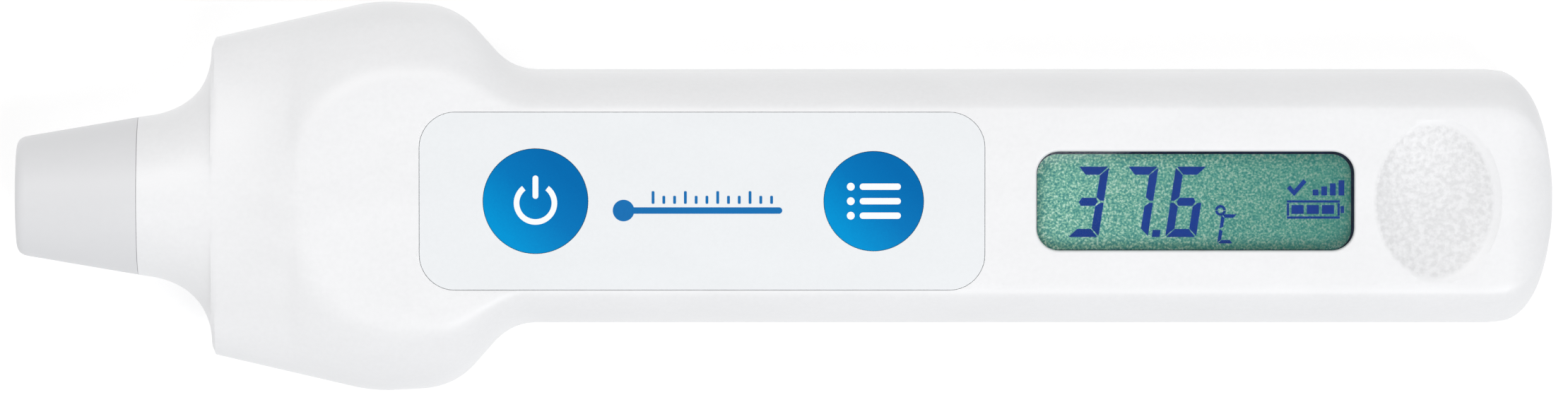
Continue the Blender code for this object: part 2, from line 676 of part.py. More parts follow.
def cell(name, start, y, pole):
    """One AAA cell from start along t; pole is 1 where its nub faces the tail, -1 the head."""
    nub_radius, nub_length = CELL_NUB
    body = CELL_LENGTH - nub_length
    profile = [(0.0, 0.0), (0.0, CELL_RADIUS - 0.3), (0.3, CELL_RADIUS), (body - 0.3, CELL_RADIUS)]
    profile += [(body, CELL_RADIUS - 0.3), (body, nub_radius), (CELL_LENGTH, nub_radius), (CELL_LENGTH, 0.0)]
    if pole < 0:
        profile = [(CELL_LENGTH - along, radius) for along, radius in reversed(profile)]
    turned(name, profile, "x", (start, y, CELL_Z), CELL, 20)


def coil(name, start, length, y, radii, finish, turns=3, steps=10, sides=5, wire=0.3):
    """A conical spring along t, its wire swept round the helix."""
    loops = []
    for k in range(turns * steps + 1):
        share = k / (turns * steps)
        angle = 2 * math.pi * k / steps
        radius = radii[0] + (radii[1] - radii[0]) * share
        loop = []
        for side in np.linspace(0.0, 2 * math.pi, sides, endpoint=False):
            reach = radius + wire * math.cos(side)
            along = length * share + wire * math.sin(side)
            loop.append((along, reach * math.cos(angle), reach * math.sin(angle)))
        loops.append(loop)
    loft(name, loops, (start, y, CELL_Z), finish)


def battery_bay():
    first, last = CARRIER_T
    carrier = block("battery_carrier", (first, -11.2, CARRIER_ROOF[0]), (last, 11.2, CARRIER_ROOF[1]), DARK)
    for name, t in (("front", first), ("rear", last - CARRIER_END_WALL)):
        wall = block(f"guide_{name}_wall", (t, -10.8, 3.2), (t + CARRIER_END_WALL, 10.8, 13.3), DARK)
        combine(carrier, "UNION", wall)
    rib = block("guide_centre_rib", (first + 0.4, -0.8, 10.9), (last - 0.4, 0.8, 13.3), DARK)
    combine(carrier, "UNION", rib)

    pitch = CELL_LENGTH + CELL_GAP
    for k, name in enumerate(("battery_cell_1", "battery_cell_2")):
        cell(name, 62.8 + k * pitch, CELL_Y, -1)
    for k, name in enumerate(("battery_cell_3", "battery_cell_4")):
        cell(name, 63.9 + k * pitch, -CELL_Y, 1)

    contact = [(0.0, 0.0), (0.0, 3.8), (0.4, 3.8), (0.4, 2.2), (1.9, 1.2), (1.9, 0.0)]
    turned("positive_contact", contact, "x", (60.3, CELL_Y, CELL_Z), SILVER, 20)
    coil("negative_spring", 60.7, 2.6, -CELL_Y, (3.9, 2.2), SILVER)
    coil("link_spring", 152.7, 2.0, CELL_Y, (2.2, 3.9), SILVER)
    link = block("link_contact", (155.3, -9.2, 3.8), (155.7, 9.2, 10.7), SILVER)
    bump = [(0.0, 0.0), (0.0, 1.2), (1.9, 2.2), (1.9, 0.0)]
    combine(link, "UNION", turned("guide_link_bump", bump, "x", (153.5, -CELL_Y, CELL_Z), SILVER, 20))


battery_bay()


# ---------------------------------------------------------------- fixings


def casing_screws():
    for name, (t, y, _, screw) in SCREWS.items():
        head = SCREW_HEAD_HEIGHT
        shank = screw["hole"] - 0.3
        tip = screw["tip"] - screw["base"]
        profile = [(0.0, 0.0), (0.0, screw["head"] - 0.3), (0.3, screw["head"]), (head, screw["head"])]
        profile += [(head, shank), (tip - 0.8, shank), (tip, 0.0)]
        turned(name, profile, "z", (t, y, screw["base"]), SILVER, 16)


casing_screws()
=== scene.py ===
from math import asin, copysign, cos, hypot, pi, radians, sin, sqrt

import bmesh
import bpy
import numpy as np
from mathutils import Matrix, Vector


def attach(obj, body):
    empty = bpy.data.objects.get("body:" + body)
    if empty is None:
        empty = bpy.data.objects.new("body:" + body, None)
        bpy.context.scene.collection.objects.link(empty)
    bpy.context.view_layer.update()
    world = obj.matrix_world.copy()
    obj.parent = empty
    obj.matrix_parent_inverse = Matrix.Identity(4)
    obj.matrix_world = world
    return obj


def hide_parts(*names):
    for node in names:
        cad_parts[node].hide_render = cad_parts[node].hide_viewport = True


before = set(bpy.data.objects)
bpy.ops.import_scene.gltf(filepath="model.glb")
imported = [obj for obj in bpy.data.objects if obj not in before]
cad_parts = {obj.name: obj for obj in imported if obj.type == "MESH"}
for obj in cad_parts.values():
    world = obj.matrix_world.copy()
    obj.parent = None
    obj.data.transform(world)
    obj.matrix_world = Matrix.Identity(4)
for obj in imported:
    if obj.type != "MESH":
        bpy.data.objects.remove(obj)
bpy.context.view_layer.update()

# Lengths are in millimetres until mesh_piece() turns them into metres. A place is (t, y, z):
# t runs along the body from the probe's tip to the tail, y across and z up from the flat back.
MM = 0.001
TIP_T = 0.45
TAIL_T = 165.0
MIDDLE_T = (TIP_T + TAIL_T) / 2
HEIGHT = 22.0
WALL = 1.7
SEAM_Z = 11.0
HALF_GAP = 0.15
WELD_REACH = 0.001
CLOSEST_STATIONS = 0.02

# Edges that turn by fewer degrees than this are shaded smooth
SMOOTH_BELOW = 35.0
CASING_SMOOTH_BELOW = 30.0
RING_SMOOTH_BELOW = 80.0
SPRING_SMOOTH_BELOW = 60.0

CAP_END = 13.4
CAP_SEAM = (13.51, 13.55)
CAP_WALL = 1.1
TIP_RADIUS = 6.17
NOSE_TAPER = 0.17
NECK_RADIUS = TIP_RADIUS + NOSE_TAPER * CAP_END
NECK_TAPER = 0.1
NOSE_AXIS = (0.0, 0.0, SEAM_Z)

EAR_T = 21.5
EAR_HALF_WIDTH = 16.9
FLARE_POWER = 2.6
HANDLE_HALF_WIDTH = 13.4
HEAD_CORNERS = (
    (EAR_T, EAR_HALF_WIDTH),
    (38.9, 20.9),
    (47.5, 20.4),
    (53.65, HANDLE_HALF_WIDTH),
    (60.0, HANDLE_HALF_WIDTH),
)
HEAD_ROUNDING = (0.0, 2.4, 3.4, 2.8, 0.0)

# Stretches of t over which the section changes
HEAD_BLEND = (CAP_END, 22.0)
BACK_BLEND = (14.0, 29.0)
HANDLE_BLEND = (46.0, 57.0)
HOLLOW_TURNS = (40.0, 52.0)

PLATEAU_FRONT = 30.2
PLATEAU_WIDEST = 44.4
PLATEAU_NARROWS = (45.5, 55.5)
PLATEAU_HEAD_HALF = 13.8
PLATEAU_HANDLE_HALF = 10.0
PLATEAU_POWER = 2.4
EDGE_SOFTNESS = 0.7

TAIL_START = 158.2
TAIL_REACH = 0.995
TAIL_POWERS = (2.6, 2.2)
TAIL_HEIGHT_LOSS = 0.45

KEYPAD_T = (43.9, 104.25)
KEYPAD_HALF_WIDTH = 9.5
KEYPAD_CORNER = 3.8
POCKET_GAP = 0.04
KEYPAD_TOP = 21.93
KEYPAD_THICKNESS = 0.45
KEYPAD_FLOOR = 21.2
KEYS = {"on": (56.3, 5.5), "mem": (92.4, 5.22)}
KEY_POCKET_FLOOR = 20.85
KEY_STEM_RADIUS = 2.0

DISPLAY_T = 126.75
DISPLAY_SIZE = (33.9, 10.6)
DISPLAY_CORNER = 2.4
WINDOW_MARGIN = 1.3
WINDOW_Z = (19.8, 20.7)
LCD_SIZE = (37.4, 14.2)
LCD_Z = (17.75, 19.5)
# Heights of the dark sheet on the glass that paints the opening rim's shadow
RIM_SHADOW_LEVELS = [(19.53, 0.0), (19.6, 0.0)]
MARKS_Y = -0.19

DISH_T = 152.3
DISH_RADII = (8.1, 10.5)
DISH_DEPTH = 1.0
DISH_RISE = 1.2
DISH_TILT = radians(2.0)
DISH_GRAIN_REACH = (6.6, 8.5)

# Cutters through the face run from inside the casing to clear above it. One that would share a
# plane with the parting faces is moved off it by PLANE_OFFSET.
CUT_LOW = 15.0
CUT_TOP = 30.0
PLANE_OFFSET = 0.004

DOOR_T = 57.5
DOOR_Z = 5.0
GRIP_T = 66.0
GRIP_GROOVES = 6
GRIP_PITCH = 2.4
GRIP_HALF_WIDTH = 6.5
GRIP_TAPER = 0.35
ARROW_T = (86.0, 91.2)
ARROW_HALF_WIDTH = 2.6
ARROW_DEPTH = 0.3
CELL_RADIUS = 5.25
CELL_LENGTH = 44.5
CELL_Y = 5.4
CELL_Z = 7.25
CELL_PITCH = CELL_LENGTH + 0.3
BOARD_TOP = 15.6
KEY_STEM_LOW = BOARD_TOP + 0.92
BUZZER_T = 44.5
SOUND_RING = 3.2

# Each screw: t, y, top of its post, boss, hole and head radius, underside of its head, tip
SCREWS = {
    "casing_screw_front_left": (27.5, 9.4, 18.9, 2.3, 1.05, 1.5, 0.6, 15.0),
    "casing_screw_front_right": (27.5, -9.4, 18.9, 2.3, 1.05, 1.5, 0.6, 15.0),
    "casing_screw_head_left": (40.0, 12.4, 20.8, 2.9, 1.3, 2.0, 0.5, 15.6),
    "casing_screw_head_right": (40.0, -12.4, 20.8, 2.9, 1.3, 2.0, 0.5, 15.6),
    "casing_screw_tail": (160.2, 0.0, 20.6, 2.3, 1.3, 2.0, 3.2, 15.6),
}
AIMS = (("left", 13.6), ("right", -13.6))
EAR_BORE_T = (15.0, 28.0)
EAR_BORE_RADIUS = 1.8

# A colour Mix node's sockets by number, because several of them share a name
MIX_FACTOR, MIX_A, MIX_B, MIX_RESULT = 0, 6, 7, 2


# ---------------- outer shape


def ramp(value, start, end):
    """0 before start, 1 after end and smooth between."""
    u = min(max((value - start) / (end - start), 0.0), 1.0)
    return u * u * (3.0 - 2.0 * u)


def rounded_path(corners, rounding, steps):
    """Points along straight runs between corners, each inner corner rounded over its reach."""
    path = [tuple(corners[0])]
    for i in range(1, len(corners) - 1):
        corner = np.array(corners[i], float)
        before = np.array(corners[i - 1], float) - corner
        after = np.array(corners[i + 1], float) - corner
        reach = min(rounding[i], 0.45 * np.linalg.norm(before), 0.45 * np.linalg.norm(after))
        start = corner + before / np.linalg.norm(before) * reach
        end = corner + after / np.linalg.norm(after) * reach
        for s in np.linspace(0.0, 1.0, steps):
            path.append(tuple((1 - s) ** 2 * start + 2 * s * (1 - s) * corner + s * s * end))
    path.append(tuple(corners[-1]))
    return path


HEAD_PATH = np.array(rounded_path(HEAD_CORNERS, HEAD_ROUNDING, 24))


def tail_share(t):
    """How much of its full width the body keeps at t: 1 before the tail, then rounded off."""
    u = min(max((t - TAIL_START) / (TAIL_T - TAIL_START), 0.0), 1.0) * TAIL_REACH
    return (1.0 - u ** TAIL_POWERS[0]) ** (1.0 / TAIL_POWERS[1])


def half_width(t):
    """The body's half-width at t: a cone, a flare into the head, then the head and handle."""
    if t <= CAP_END:
        return TIP_RADIUS + NOSE_TAPER * t
    if t < EAR_T:
        u = (t - CAP_END) / (EAR_T - CAP_END)
        neck = NECK_RADIUS + NECK_TAPER * (t - CAP_END)
        flare = 1.0 - (1.0 - u**FLARE_POWER) ** (1.0 / FLARE_POWER)
        return neck + flare * (EAR_HALF_WIDTH - NECK_RADIUS - NECK_TAPER * (EAR_T - CAP_END))
    return float(np.interp(t, HEAD_PATH[:, 0], HEAD_PATH[:, 1])) * tail_share(t)


def plateau_half(t):
    """Half the width of the flat top at t: an arch on the head that narrows to a strip."""
    if t <= PLATEAU_FRONT:
        return 0.0
    if t < PLATEAU_WIDEST:
        u = (PLATEAU_WIDEST - t) / (PLATEAU_WIDEST - PLATEAU_FRONT)
        return PLATEAU_HEAD_HALF * (1.0 - u**PLATEAU_POWER) ** (1.0 / PLATEAU_POWER)
    narrowing = (PLATEAU_HEAD_HALF - PLATEAU_HANDLE_HALF) * ramp(t, *PLATEAU_NARROWS)
    return (PLATEAU_HEAD_HALF - narrowing) * tail_share(t)


def soft_top(z, softness):
    """z capped at the plateau's height, with the crease between them rounded."""
    blend = max(softness - abs(z - HEIGHT), 0.0)
    return min(z, HEIGHT) - blend * blend / (4.0 * softness) if softness else min(z, HEIGHT)


def cross_section(t):
    """What shapes the outline at t: half-width, the arch, the crease's angle and the underside."""
    w = half_width(t)
    head, handle = ramp(t, *HEAD_BLEND), ramp(t, *HANDLE_BLEND)
    upper = SEAM_Z + 0.45 + 1.05 * head + 1.5 * handle
    lower = SEAM_Z - 0.45 - 2.05 * head - 2.5 * handle
    if t <= PLATEAU_FRONT:
        u = min(max((t - CAP_END) / (PLATEAU_FRONT - CAP_END), 0.0), 1.0)
        nose_top = SEAM_Z + min(w, NECK_RADIUS)
        arch = nose_top + (HEIGHT - SEAM_Z - NECK_RADIUS) * (0.25 * u + 0.75 * u**3) - upper
    else:
        share = min(plateau_half(t) / w, 0.98)
        arch = (HEIGHT - upper) / sqrt(1.0 - share**2)
    crease = min(asin(min((HEIGHT - upper) / arch, 1.0)), radians(75.0))
    edge = 8.0 - 3.5 * handle
    flat = max(w - edge, 0.0) * ramp(t, CAP_END, BACK_BLEND[1])
    bottom = (SEAM_Z - min(w, NECK_RADIUS)) * (1.0 - ramp(t, *BACK_BLEND))
    keep = 1.0 - TAIL_HEIGHT_LOSS * (1.0 - tail_share(t))
    return w, upper, lower, arch, crease, flat, bottom, keep


# Where a parting line's edge curls in: distance from the line, and depth
CURL = ((HALF_GAP, 0.13), (0.2, 0.06), (0.28, 0.015), (0.4, 0.0))


def arched(section, angles, softness):
    """(y, z) on a section's arch at the given angles, cut off by the flat top."""
    w, upper, _, arch = section[:4]
    return [(w * cos(a), soft_top(upper + arch * sin(a), softness)) for a in angles]


def over_the_top(t):
    """(y, z) from the top centre round to the seam on the +y side, its edge curled in."""
    section = cross_section(t)
    w, crease, keep = section[0], section[4], section[7]
    flat_shares, arch_shares = (np.linspace(0.0, 1.0, steps, endpoint=False) for steps in (9, 24))
    angles = [crease + (pi / 2 - crease) * (1.0 - s) ** 1.7 for s in flat_shares]
    angles += [crease * (1.0 - s**1.35) for s in arch_shares]
    half = arched(section, angles, EDGE_SOFTNESS)
    half[0] = (0.0, half[0][1])
    half = [(y, SEAM_Z + (z - SEAM_Z) * keep) for y, z in half]
    return half + [(w - depth, SEAM_Z + away) for away, depth in reversed(CURL)]


def round_the_back(t):
    """(y, z) from the seam round to the bottom centre, and how many of them lie above the door."""
    w, _, lower, _, _, flat, bottom, keep = cross_section(t)
    half = [(w - depth, SEAM_Z - away) for away, depth in CURL]

    def at_angle(angle, depth):
        y = flat + (w - flat) * cos(angle)
        z = lower - (lower - bottom) * sin(angle)
        z = z + depth * sin(angle)
        return (max(y - depth * cos(angle), 0.0), SEAM_Z + (z - SEAM_Z) * keep)

    def angle_of(z):
        return asin(min(max((lower - (SEAM_Z - (SEAM_Z - z) / keep)) / (lower - bottom), 0.0), 1.0))

    door = ramp(t, DOOR_T - 0.5, DOOR_T - HALF_GAP)
    away_from, depths = zip(*CURL)
    end = float(np.interp(abs(t - DOOR_T), away_from, depths))
    for part in range(4):
        half.append(at_angle(angle_of(DOOR_Z + 0.4) * part / 4.0, 0.0))
    for away, depth in reversed(CURL):
        half.append(at_angle(angle_of(DOOR_Z + away), depth * door))
    above = len(half)
    for away, depth in CURL:
        half.append(at_angle(angle_of(DOOR_Z - away), max(depth * door, end)))
    first = angle_of(DOOR_Z - 0.4)
    for s in np.linspace(0.0, 1.0, 17)[1:]:
        half.append(at_angle(first + (pi / 2 - first) * s, end))
    y_edge, z = max(half[-1][0], 0.3), half[-1][1]
    half[-1] = (y_edge, z)
    half += [(y_edge * share, z) for share in (0.66, 0.33, 0.0)]
    return half, above


def both_sides(half):
    """A half outline joined to its mirror image; ends on the centre line aren't doubled."""
    start = 1 if abs(half[0][0]) < 1e-9 else 0
    stop = len(half) - (1 if abs(half[-1][0]) < 1e-9 else 0)
    return list(half) + [(-y, z) for y, z in reversed(half[start:stop])]


def stations(start):
    """Places along the body from start on, close together wherever it curves."""
    collar = [CAP_SEAM[1], CAP_END + 0.22, CAP_END + 0.3]
    rise = [sin(a) ** (2 / FLARE_POWER) for a in np.linspace(0.14, pi / 2, 26)]
    flare = [CAP_END + (EAR_T - CAP_END) * share for share in rise]
    head = np.linspace(EAR_T + 0.35, HANDLE_BLEND[1], 84)
    seam = [DOOR_T + side * away for side in (-1, 1) for away, _ in CURL]
    handle = np.linspace(59.0, 157.0, 30)
    turn = asin(TAIL_REACH ** (TAIL_POWERS[0] / 2))
    reach = (TAIL_T - TAIL_START) / TAIL_REACH
    fall = [sin(turn * s) ** (2 / TAIL_POWERS[0]) for s in np.linspace(0.12, 1.0, 26)]
    tail = [TAIL_START + reach * share for share in fall]
    every = np.concatenate([collar, flare, head, sorted(seam), handle, [TAIL_START], tail])
    every = np.unique(np.round(every, 4))
    every[-1] = TAIL_T
    kept = [every[0]]
    for t in every[1:]:
        if t - kept[-1] > CLOSEST_STATIONS:
            kept.append(t)
    return [t for t in kept if t >= start - 1e-6]


def hollow_section(t):
    """The outline that the hollow is shrunk from: plain, with its creases left sharp."""
    section = cross_section(t)
    w, upper, lower, _, crease, flat, bottom, keep = section
    angles = [*np.linspace(pi / 2, crease, 4)[:-1], *np.linspace(crease, 0.0, 9)[:-1]]
    half = [*arched(section, angles, 0.0), (w, upper)]
    for angle in np.linspace(0.0, pi / 2, 7):
        half.append((flat + (w - flat) * cos(angle), lower - (lower - bottom) * sin(angle)))
    half.append((0.0, bottom))
    half[0] = (0.0, half[0][1])
    if half[-2][0] < 0.6:
        half[-2] = (0.6, half[-2][1])
    return both_sides([(y, SEAM_Z + (z - SEAM_Z) * keep) for y, z in half])


def shrunk(outline, inset):
    """A closed outline with every point moved inwards by inset."""
    points = np.array(outline)
    sides = np.roll(points, -1, axis=0) - points
    sides /= np.linalg.norm(sides, axis=1)[:, None]
    along = sides + np.roll(sides, 1, axis=0)
    normals = np.stack([along[:, 1], -along[:, 0]], axis=1)
    normals /= np.linalg.norm(normals, axis=1)[:, None]
    return [tuple(p) for p in points + normals * inset]


# ---------------- mesh makers


def reworked(mesh, change):
    """Runs one change on a mesh as a bmesh."""
    work = bmesh.new()
    work.from_mesh(mesh)
    change(work)
    work.to_mesh(mesh)
    work.free()


def mesh_piece(name, points, faces):
    """A new object from (t, y, z) points, its faces turned outwards and its shading set."""
    mesh = bpy.data.meshes.new(name)
    mesh.from_pydata([(MM * (t - MIDDLE_T), MM * y, MM * z) for t, y, z in points], [], faces)
    reworked(mesh, lambda work: bmesh.ops.recalc_face_normals(work, faces=work.faces))
    piece = bpy.data.objects.new(name, mesh)
    bpy.context.scene.collection.objects.link(piece)
    smooth(piece)
    return piece


def smooth(piece, below=SMOOTH_BELOW):
    piece.data.shade_smooth()
    piece.data.set_sharp_from_angle(angle=radians(below))


def solid_faces(base, count, rows):
    """Faces of a closed solid through rows of count points each, numbered from base."""
    last = base + (rows - 1) * count
    faces = [tuple(range(base, base + count)), tuple(range(last, last + count))]
    for start in range(base, last, count):
        for k in range(count):
            after = (k + 1) % count
            faces.append((start + k, start + after, start + count + after, start + count + k))
    return faces


def loft(name, loops):
    """A closed solid through loops of equal length."""
    points = [point for loop in loops for point in loop]
    return mesh_piece(name, points, solid_faces(0, len(loops[0]), len(loops)))


def lathe(name, profile, axis, at, rounding, segments):
    """A turned solid from (along, radius) corners, each rounded; off-axis profiles make rings."""
    if rounding:
        if profile[0][1] == 0.0:
            profile = rounded_path(profile, [rounding] * len(profile), 4)
        else:
            looped = [profile[-1], *profile, profile[0]]
            profile = rounded_path(looped, [rounding] * len(looped), 4)[1:-1]
    points, rings = [], []
    for along, radius in profile:
        if radius < 1e-9:
            rings.append([len(points)])
            points.append((along, 0.0, 0.0))
            continue
        rings.append(list(range(len(points), len(points) + segments)))
        for k in range(segments):
            angle = 2 * pi * (k + 0.5) / segments
            points.append((along, radius * cos(angle), radius * sin(angle)))
    pairs = list(zip(rings, rings[1:]))
    if len(rings[0]) > 1:
        pairs.append((rings[-1], rings[0]))
    faces = []
    for first, second in pairs:
        for k in range(segments):
            after = (k + 1) % segments
            corners = [first[k % len(first)], first[after % len(first)]]
            corners += [second[after % len(second)], second[k % len(second)]]
            faces.append(tuple(dict.fromkeys(corners)))
    if axis == "z":
        points = [(y, z, x) for x, y, z in points]
    points = [tuple(a + b for a, b in zip(point, at)) for point in points]
    return mesh_piece(name, points, faces)


def around(centre, radius, turns):
    """Points on a circle at the given angles."""
    return [(centre[0] + radius * cos(a), centre[1] + radius * sin(a)) for a in turns]


def full_turn(steps):
    """Angles spread evenly round a circle."""
    return np.linspace(0.0, 2 * pi, steps, endpoint=False)


def rounded_rectangle(length, width, radius, steps=10):
    outline = []
    for quarter, (sx, sy) in enumerate(((1, 1), (-1, 1), (-1, -1), (1, -1))):
        centre = (sx * (length / 2 - radius), sy * (width / 2 - radius))
        outline += around(centre, radius, np.linspace(0.0, pi / 2, steps + 1) + quarter * pi / 2)
    return outline


def plate(name, size, corner, centre, levels, steps=10):
    """A rounded plate through levels of (z, growth), where growth widens the outline."""
    loops = []
    for z, growth in levels:
        outline = rounded_rectangle(size[0] + 2 * growth, size[1] + 2 * growth, corner + growth, steps)
        loops.append([(centre[0] + x, centre[1] + y, z) for x, y in outline])
    return loft(name, loops)


def rounded_levels(low, high, radius):
    """Levels of a plate whose top and bottom edges are rounded."""
    levels = []
    for angle in np.linspace(0.0, pi / 2, 5):
        levels.append((low + radius * (1 - sin(angle)), -radius * (1 - cos(angle))))
    levels.reverse()
    top = [(low + high - z, growth) for z, growth in reversed(levels)]
    return levels + top


def flared_levels(low, rim, radius):
    """Levels of a cutter that leaves a rounded rim at height rim."""
    levels = [(low, 0.0)]
    for angle in np.linspace(0.0, pi / 2, 6):
        levels.append((rim - radius + radius * sin(angle), radius * (1 - cos(angle))))
    levels.append((CUT_TOP, levels[-1][1] + (CUT_TOP - rim) * 0.5))
    return levels


def flared_profile(low, rim, radius, reach):
    """The same cutter as a turned profile, reach wide below its rim."""
    profile = [(z, reach + growth) for z, growth in flared_levels(low, rim, radius)]
    return [(low, 0.0), *profile, (CUT_TOP, 0.0)]


def block(name, low, high):
    corners = [(x, y, z) for x in (low[0], high[0]) for y in (low[1], high[1]) for z in (low[2], high[2])]
    faces = [(0, 1, 3, 2), (4, 6, 7, 5), (0, 4, 5, 1), (2, 3, 7, 6), (0, 2, 6, 4), (1, 5, 7, 3)]
    return mesh_piece(name, corners, faces)


def rod(name, axis, at, span, radius, segments=40):
    """A plain cylinder along an axis, between the two ends of span."""
    profile = [(span[0], 0.0), (span[0], radius), (span[1], radius), (span[1], 0.0)]
    return lathe(name, profile, axis, at, 0.0, segments)


def post(name, t, y, z_range, radius, segments=40):
    return rod(name, "z", (t, y, 0.0), z_range, radius, segments)


def carve(piece, steps, below=SMOOTH_BELOW):
    """Applies each (operation, tools) in turn, removes the tools and evens out the shading."""
    used = []
    for number, (operation, tools) in enumerate(steps):
        group = bpy.data.collections.new(f"{piece.name}_tools_{number}")
        for tool in tools:
            group.objects.link(tool)
        modifier = piece.modifiers.new(group.name, "BOOLEAN")
        modifier.operation = operation
        modifier.operand_type = "COLLECTION"
        modifier.collection = group
        used += tools
    bake(piece)
    for tool in used:
        bpy.data.objects.remove(tool)
    # A cut can leave slivers between points that all but meet
    reach = WELD_REACH * MM
    reworked(piece.data, lambda work: bmesh.ops.remove_doubles(work, verts=work.verts, dist=reach))
    smooth(piece, below)
    shading = piece.modifiers.new("normals", "WEIGHTED_NORMAL")
    shading.keep_sharp = True
    bake(piece)
    return piece


def bake(piece):
    graph = bpy.context.evaluated_depsgraph_get()
    piece.data = bpy.data.meshes.new_from_object(piece.evaluated_get(graph))
    piece.modifiers.clear()


def coat(piece, *finishes):
    """Puts these materials, and no others, on a piece."""
    piece.data.materials.clear()
    for finish in finishes:
        piece.data.materials.append(finish)


def settle(piece, finish, *nodes, body="housing", slot=None):
    """Gives a finished piece its material and its body, and hides the CAD nodes that it replaces.

    The slot argument is not used.
    """
    coat(piece, finish)
    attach(piece, body)
    if nodes:
        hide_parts(*nodes)


# ---------------- materials


def feed(made, inputs):
    """Sets a node's inputs to plain values, or links them to other nodes' outputs."""
    for name, value in inputs.items():
        socket = made.inputs[name]
        if isinstance(value, bpy.types.NodeSocket):
            made.id_data.links.new(value, socket)
        else:
            socket.default_value = (*value, 1.0) if socket.type == "RGBA" else value


def node(kind, output, inputs, **settings):
    """Adds a shader node to its inputs' tree and gives its named output."""
    tree = next(value.id_data for value in inputs.values() if isinstance(value, bpy.types.NodeSocket))
    made = tree.nodes.new("ShaderNode" + kind)
    for name, value in settings.items():
        setattr(made, name, value)
    feed(made, inputs)
    return made.outputs[output]


def new_material(name, roughness, metallic=0.0):
    """A material, its shader and the place on the object that its patterns start from."""
    made = bpy.data.materials.new(name)
    made.use_nodes = True
    nodes = made.node_tree.nodes
    shader = nodes["Principled BSDF"]
    feed(shader, {"Roughness": roughness, "Metallic": metallic})
    return made, shader, nodes.new("ShaderNodeTexCoord").outputs["Object"]


def noise(place, size, detail=2.0, stretch=None):
    """A noise whose lumps are about size millimetres across."""
    if stretch:
        place = node("Mapping", "Vector", {"Vector": place, "Scale": stretch})
    return node("TexNoise", "Fac", {"Vector": place, "Scale": 1.0 / (size * MM), "Detail": detail})


def colours(source, stops):
    """A colour ramp through (position, colour) stops."""
    made = node("ValToRGB", "Color", {"Fac": source})
    elements = made.node.color_ramp.elements
    while len(elements) < len(stops):
        elements.new(0.5)
    for element, (position, colour) in zip(elements, stops):
        element.position = position
        element.color = (*colour, 1.0)
    return made


def tints(source, colour, low, high, start=0.3, end=0.7):
    """A colour, from low to high times its brightness."""
    first, second = (tuple(min(channel * factor, 1.0) for channel in colour) for factor in (low, high))
    return colours(source, [(start, first), (end, second)])


def spread(source, low, high, start=0.3, end=0.7):
    """Maps a noise's middle range to low..high."""
    inputs = {"Value": source, "From Min": start, "From Max": end, "To Min": low, "To Max": high}
    return node("MapRange", "Result", inputs)


def maths(operation, first, second):
    return node("Math", "Value", {0: first, 1: second}, operation=operation)


def coordinates(place):
    """A place's X, Y and Z, in metres."""
    return node("SeparateXYZ", "X", {"Vector": place}).node.outputs


def mixed(share, first, second):
    inputs = {MIX_FACTOR: share, MIX_A: first, MIX_B: second}
    return node("Mix", MIX_RESULT, inputs, data_type="RGBA")


def relief(shader, height, depth, strength=1.0):
    """Bump whose full height is depth millimetres, added to any that is there already."""
    inputs = {"Height": height, "Distance": depth * MM, "Strength": strength}
    earlier = shader.inputs["Normal"].links
    if earlier:
        inputs["Normal"] = earlier[0].from_socket
    feed(shader, {"Normal": node("Bump", "Normal", inputs)})


def plastic(name, colour, roughness, grain=(0.32, 0.006), mottling=0.02, specular=0.5):
    """Moulded plastic: a fine spark-eroded grain, faint flow marks and uneven gloss."""
    made, shader, place = new_material(name, roughness)
    size, depth = grain
    shades = (colour, 1.0 - mottling, 1.0 + mottling)
    flow = noise(place, 11.0, 3.0, (1.0, 2.2, 1.0))
    speck = noise(place, size * 1.5)
    tint = mixed(0.45, tints(flow, *shades, 0.35, 0.65), tints(speck, *shades))
    gloss = spread(speck, roughness - 0.05, roughness + 0.05)
    feed(shader, {"Specular IOR Level": specular, "Base Color": tint, "Roughness": gloss})
    relief(shader, noise(place, size, 3.0), depth)
    return made, shader, place


def casing_plastic(name, colour):
    """The casing's plastic, with a coarser grain in the thumb dish, where darker flecks paint the grain's
    small shadows and so darken the dish.
    """
    made, shader, place = plastic(name, colour, 0.38, (0.36, 0.009), 0.022, 0.4)
    x, y, z = coordinates(place)
    along = maths("SUBTRACT", x, MM * (DISH_T - 0.1 - MIDDLE_T))
    along = maths("DIVIDE", along, MM * DISH_GRAIN_REACH[0])
    across = maths("DIVIDE", y, MM * DISH_GRAIN_REACH[1])
    away = maths("ADD", maths("MULTIPLY", along, along), maths("MULTIPLY", across, across))
    inside = spread(away, 1.0, 0.0, 0.86, 0.98)
    above = spread(z, 0.0, 1.0, MM * 15.0, MM * 16.0)
    dish = maths("MULTIPLY", inside, above)
    coarse = noise(place, 0.55)
    relief(shader, coarse, 0.055, dish)
    plain = shader.inputs["Base Color"].links[0].from_socket
    # Painted shade: darker flecks for the grain's shadows, darkening the dish as a whole
    grain_shade_flecks = tints(coarse, colour, 0.84, 0.96, 0.36, 0.64)
    feed(shader, {"Base Color": mixed(dish, plain, grain_shade_flecks)})
    return made


def metal(name, colour, roughness, brushing=(1.0, 6.0, 6.0)):
    """Brushed metal: fine scratches along its least stretched axis, and uneven colour."""
    made, shader, place = new_material(name, roughness, 1.0)
    grain = noise(place, 0.5, 4.0, brushing)
    tint = tints(noise(place, 3.0), colour, 0.9, 1.06)
    feed(shader, {"Base Color": tint, "Roughness": spread(grain, roughness - 0.08, roughness + 0.1)})
    relief(shader, grain, 0.0006)
    return made


def clear_plastic(name):
    made, shader, place = new_material(name, 0.04)
    feed(shader, {"Base Color": (0.97, 0.985, 0.98), "Transmission Weight": 1.0, "IOR": 1.25})
    smears = noise(place, 2.5, 5.0, (1.0, 3.0, 1.0))
    feed(shader, {"Roughness": spread(smears, 0.02, 0.05)})
    relief(shader, smears, 0.0008)
    return made


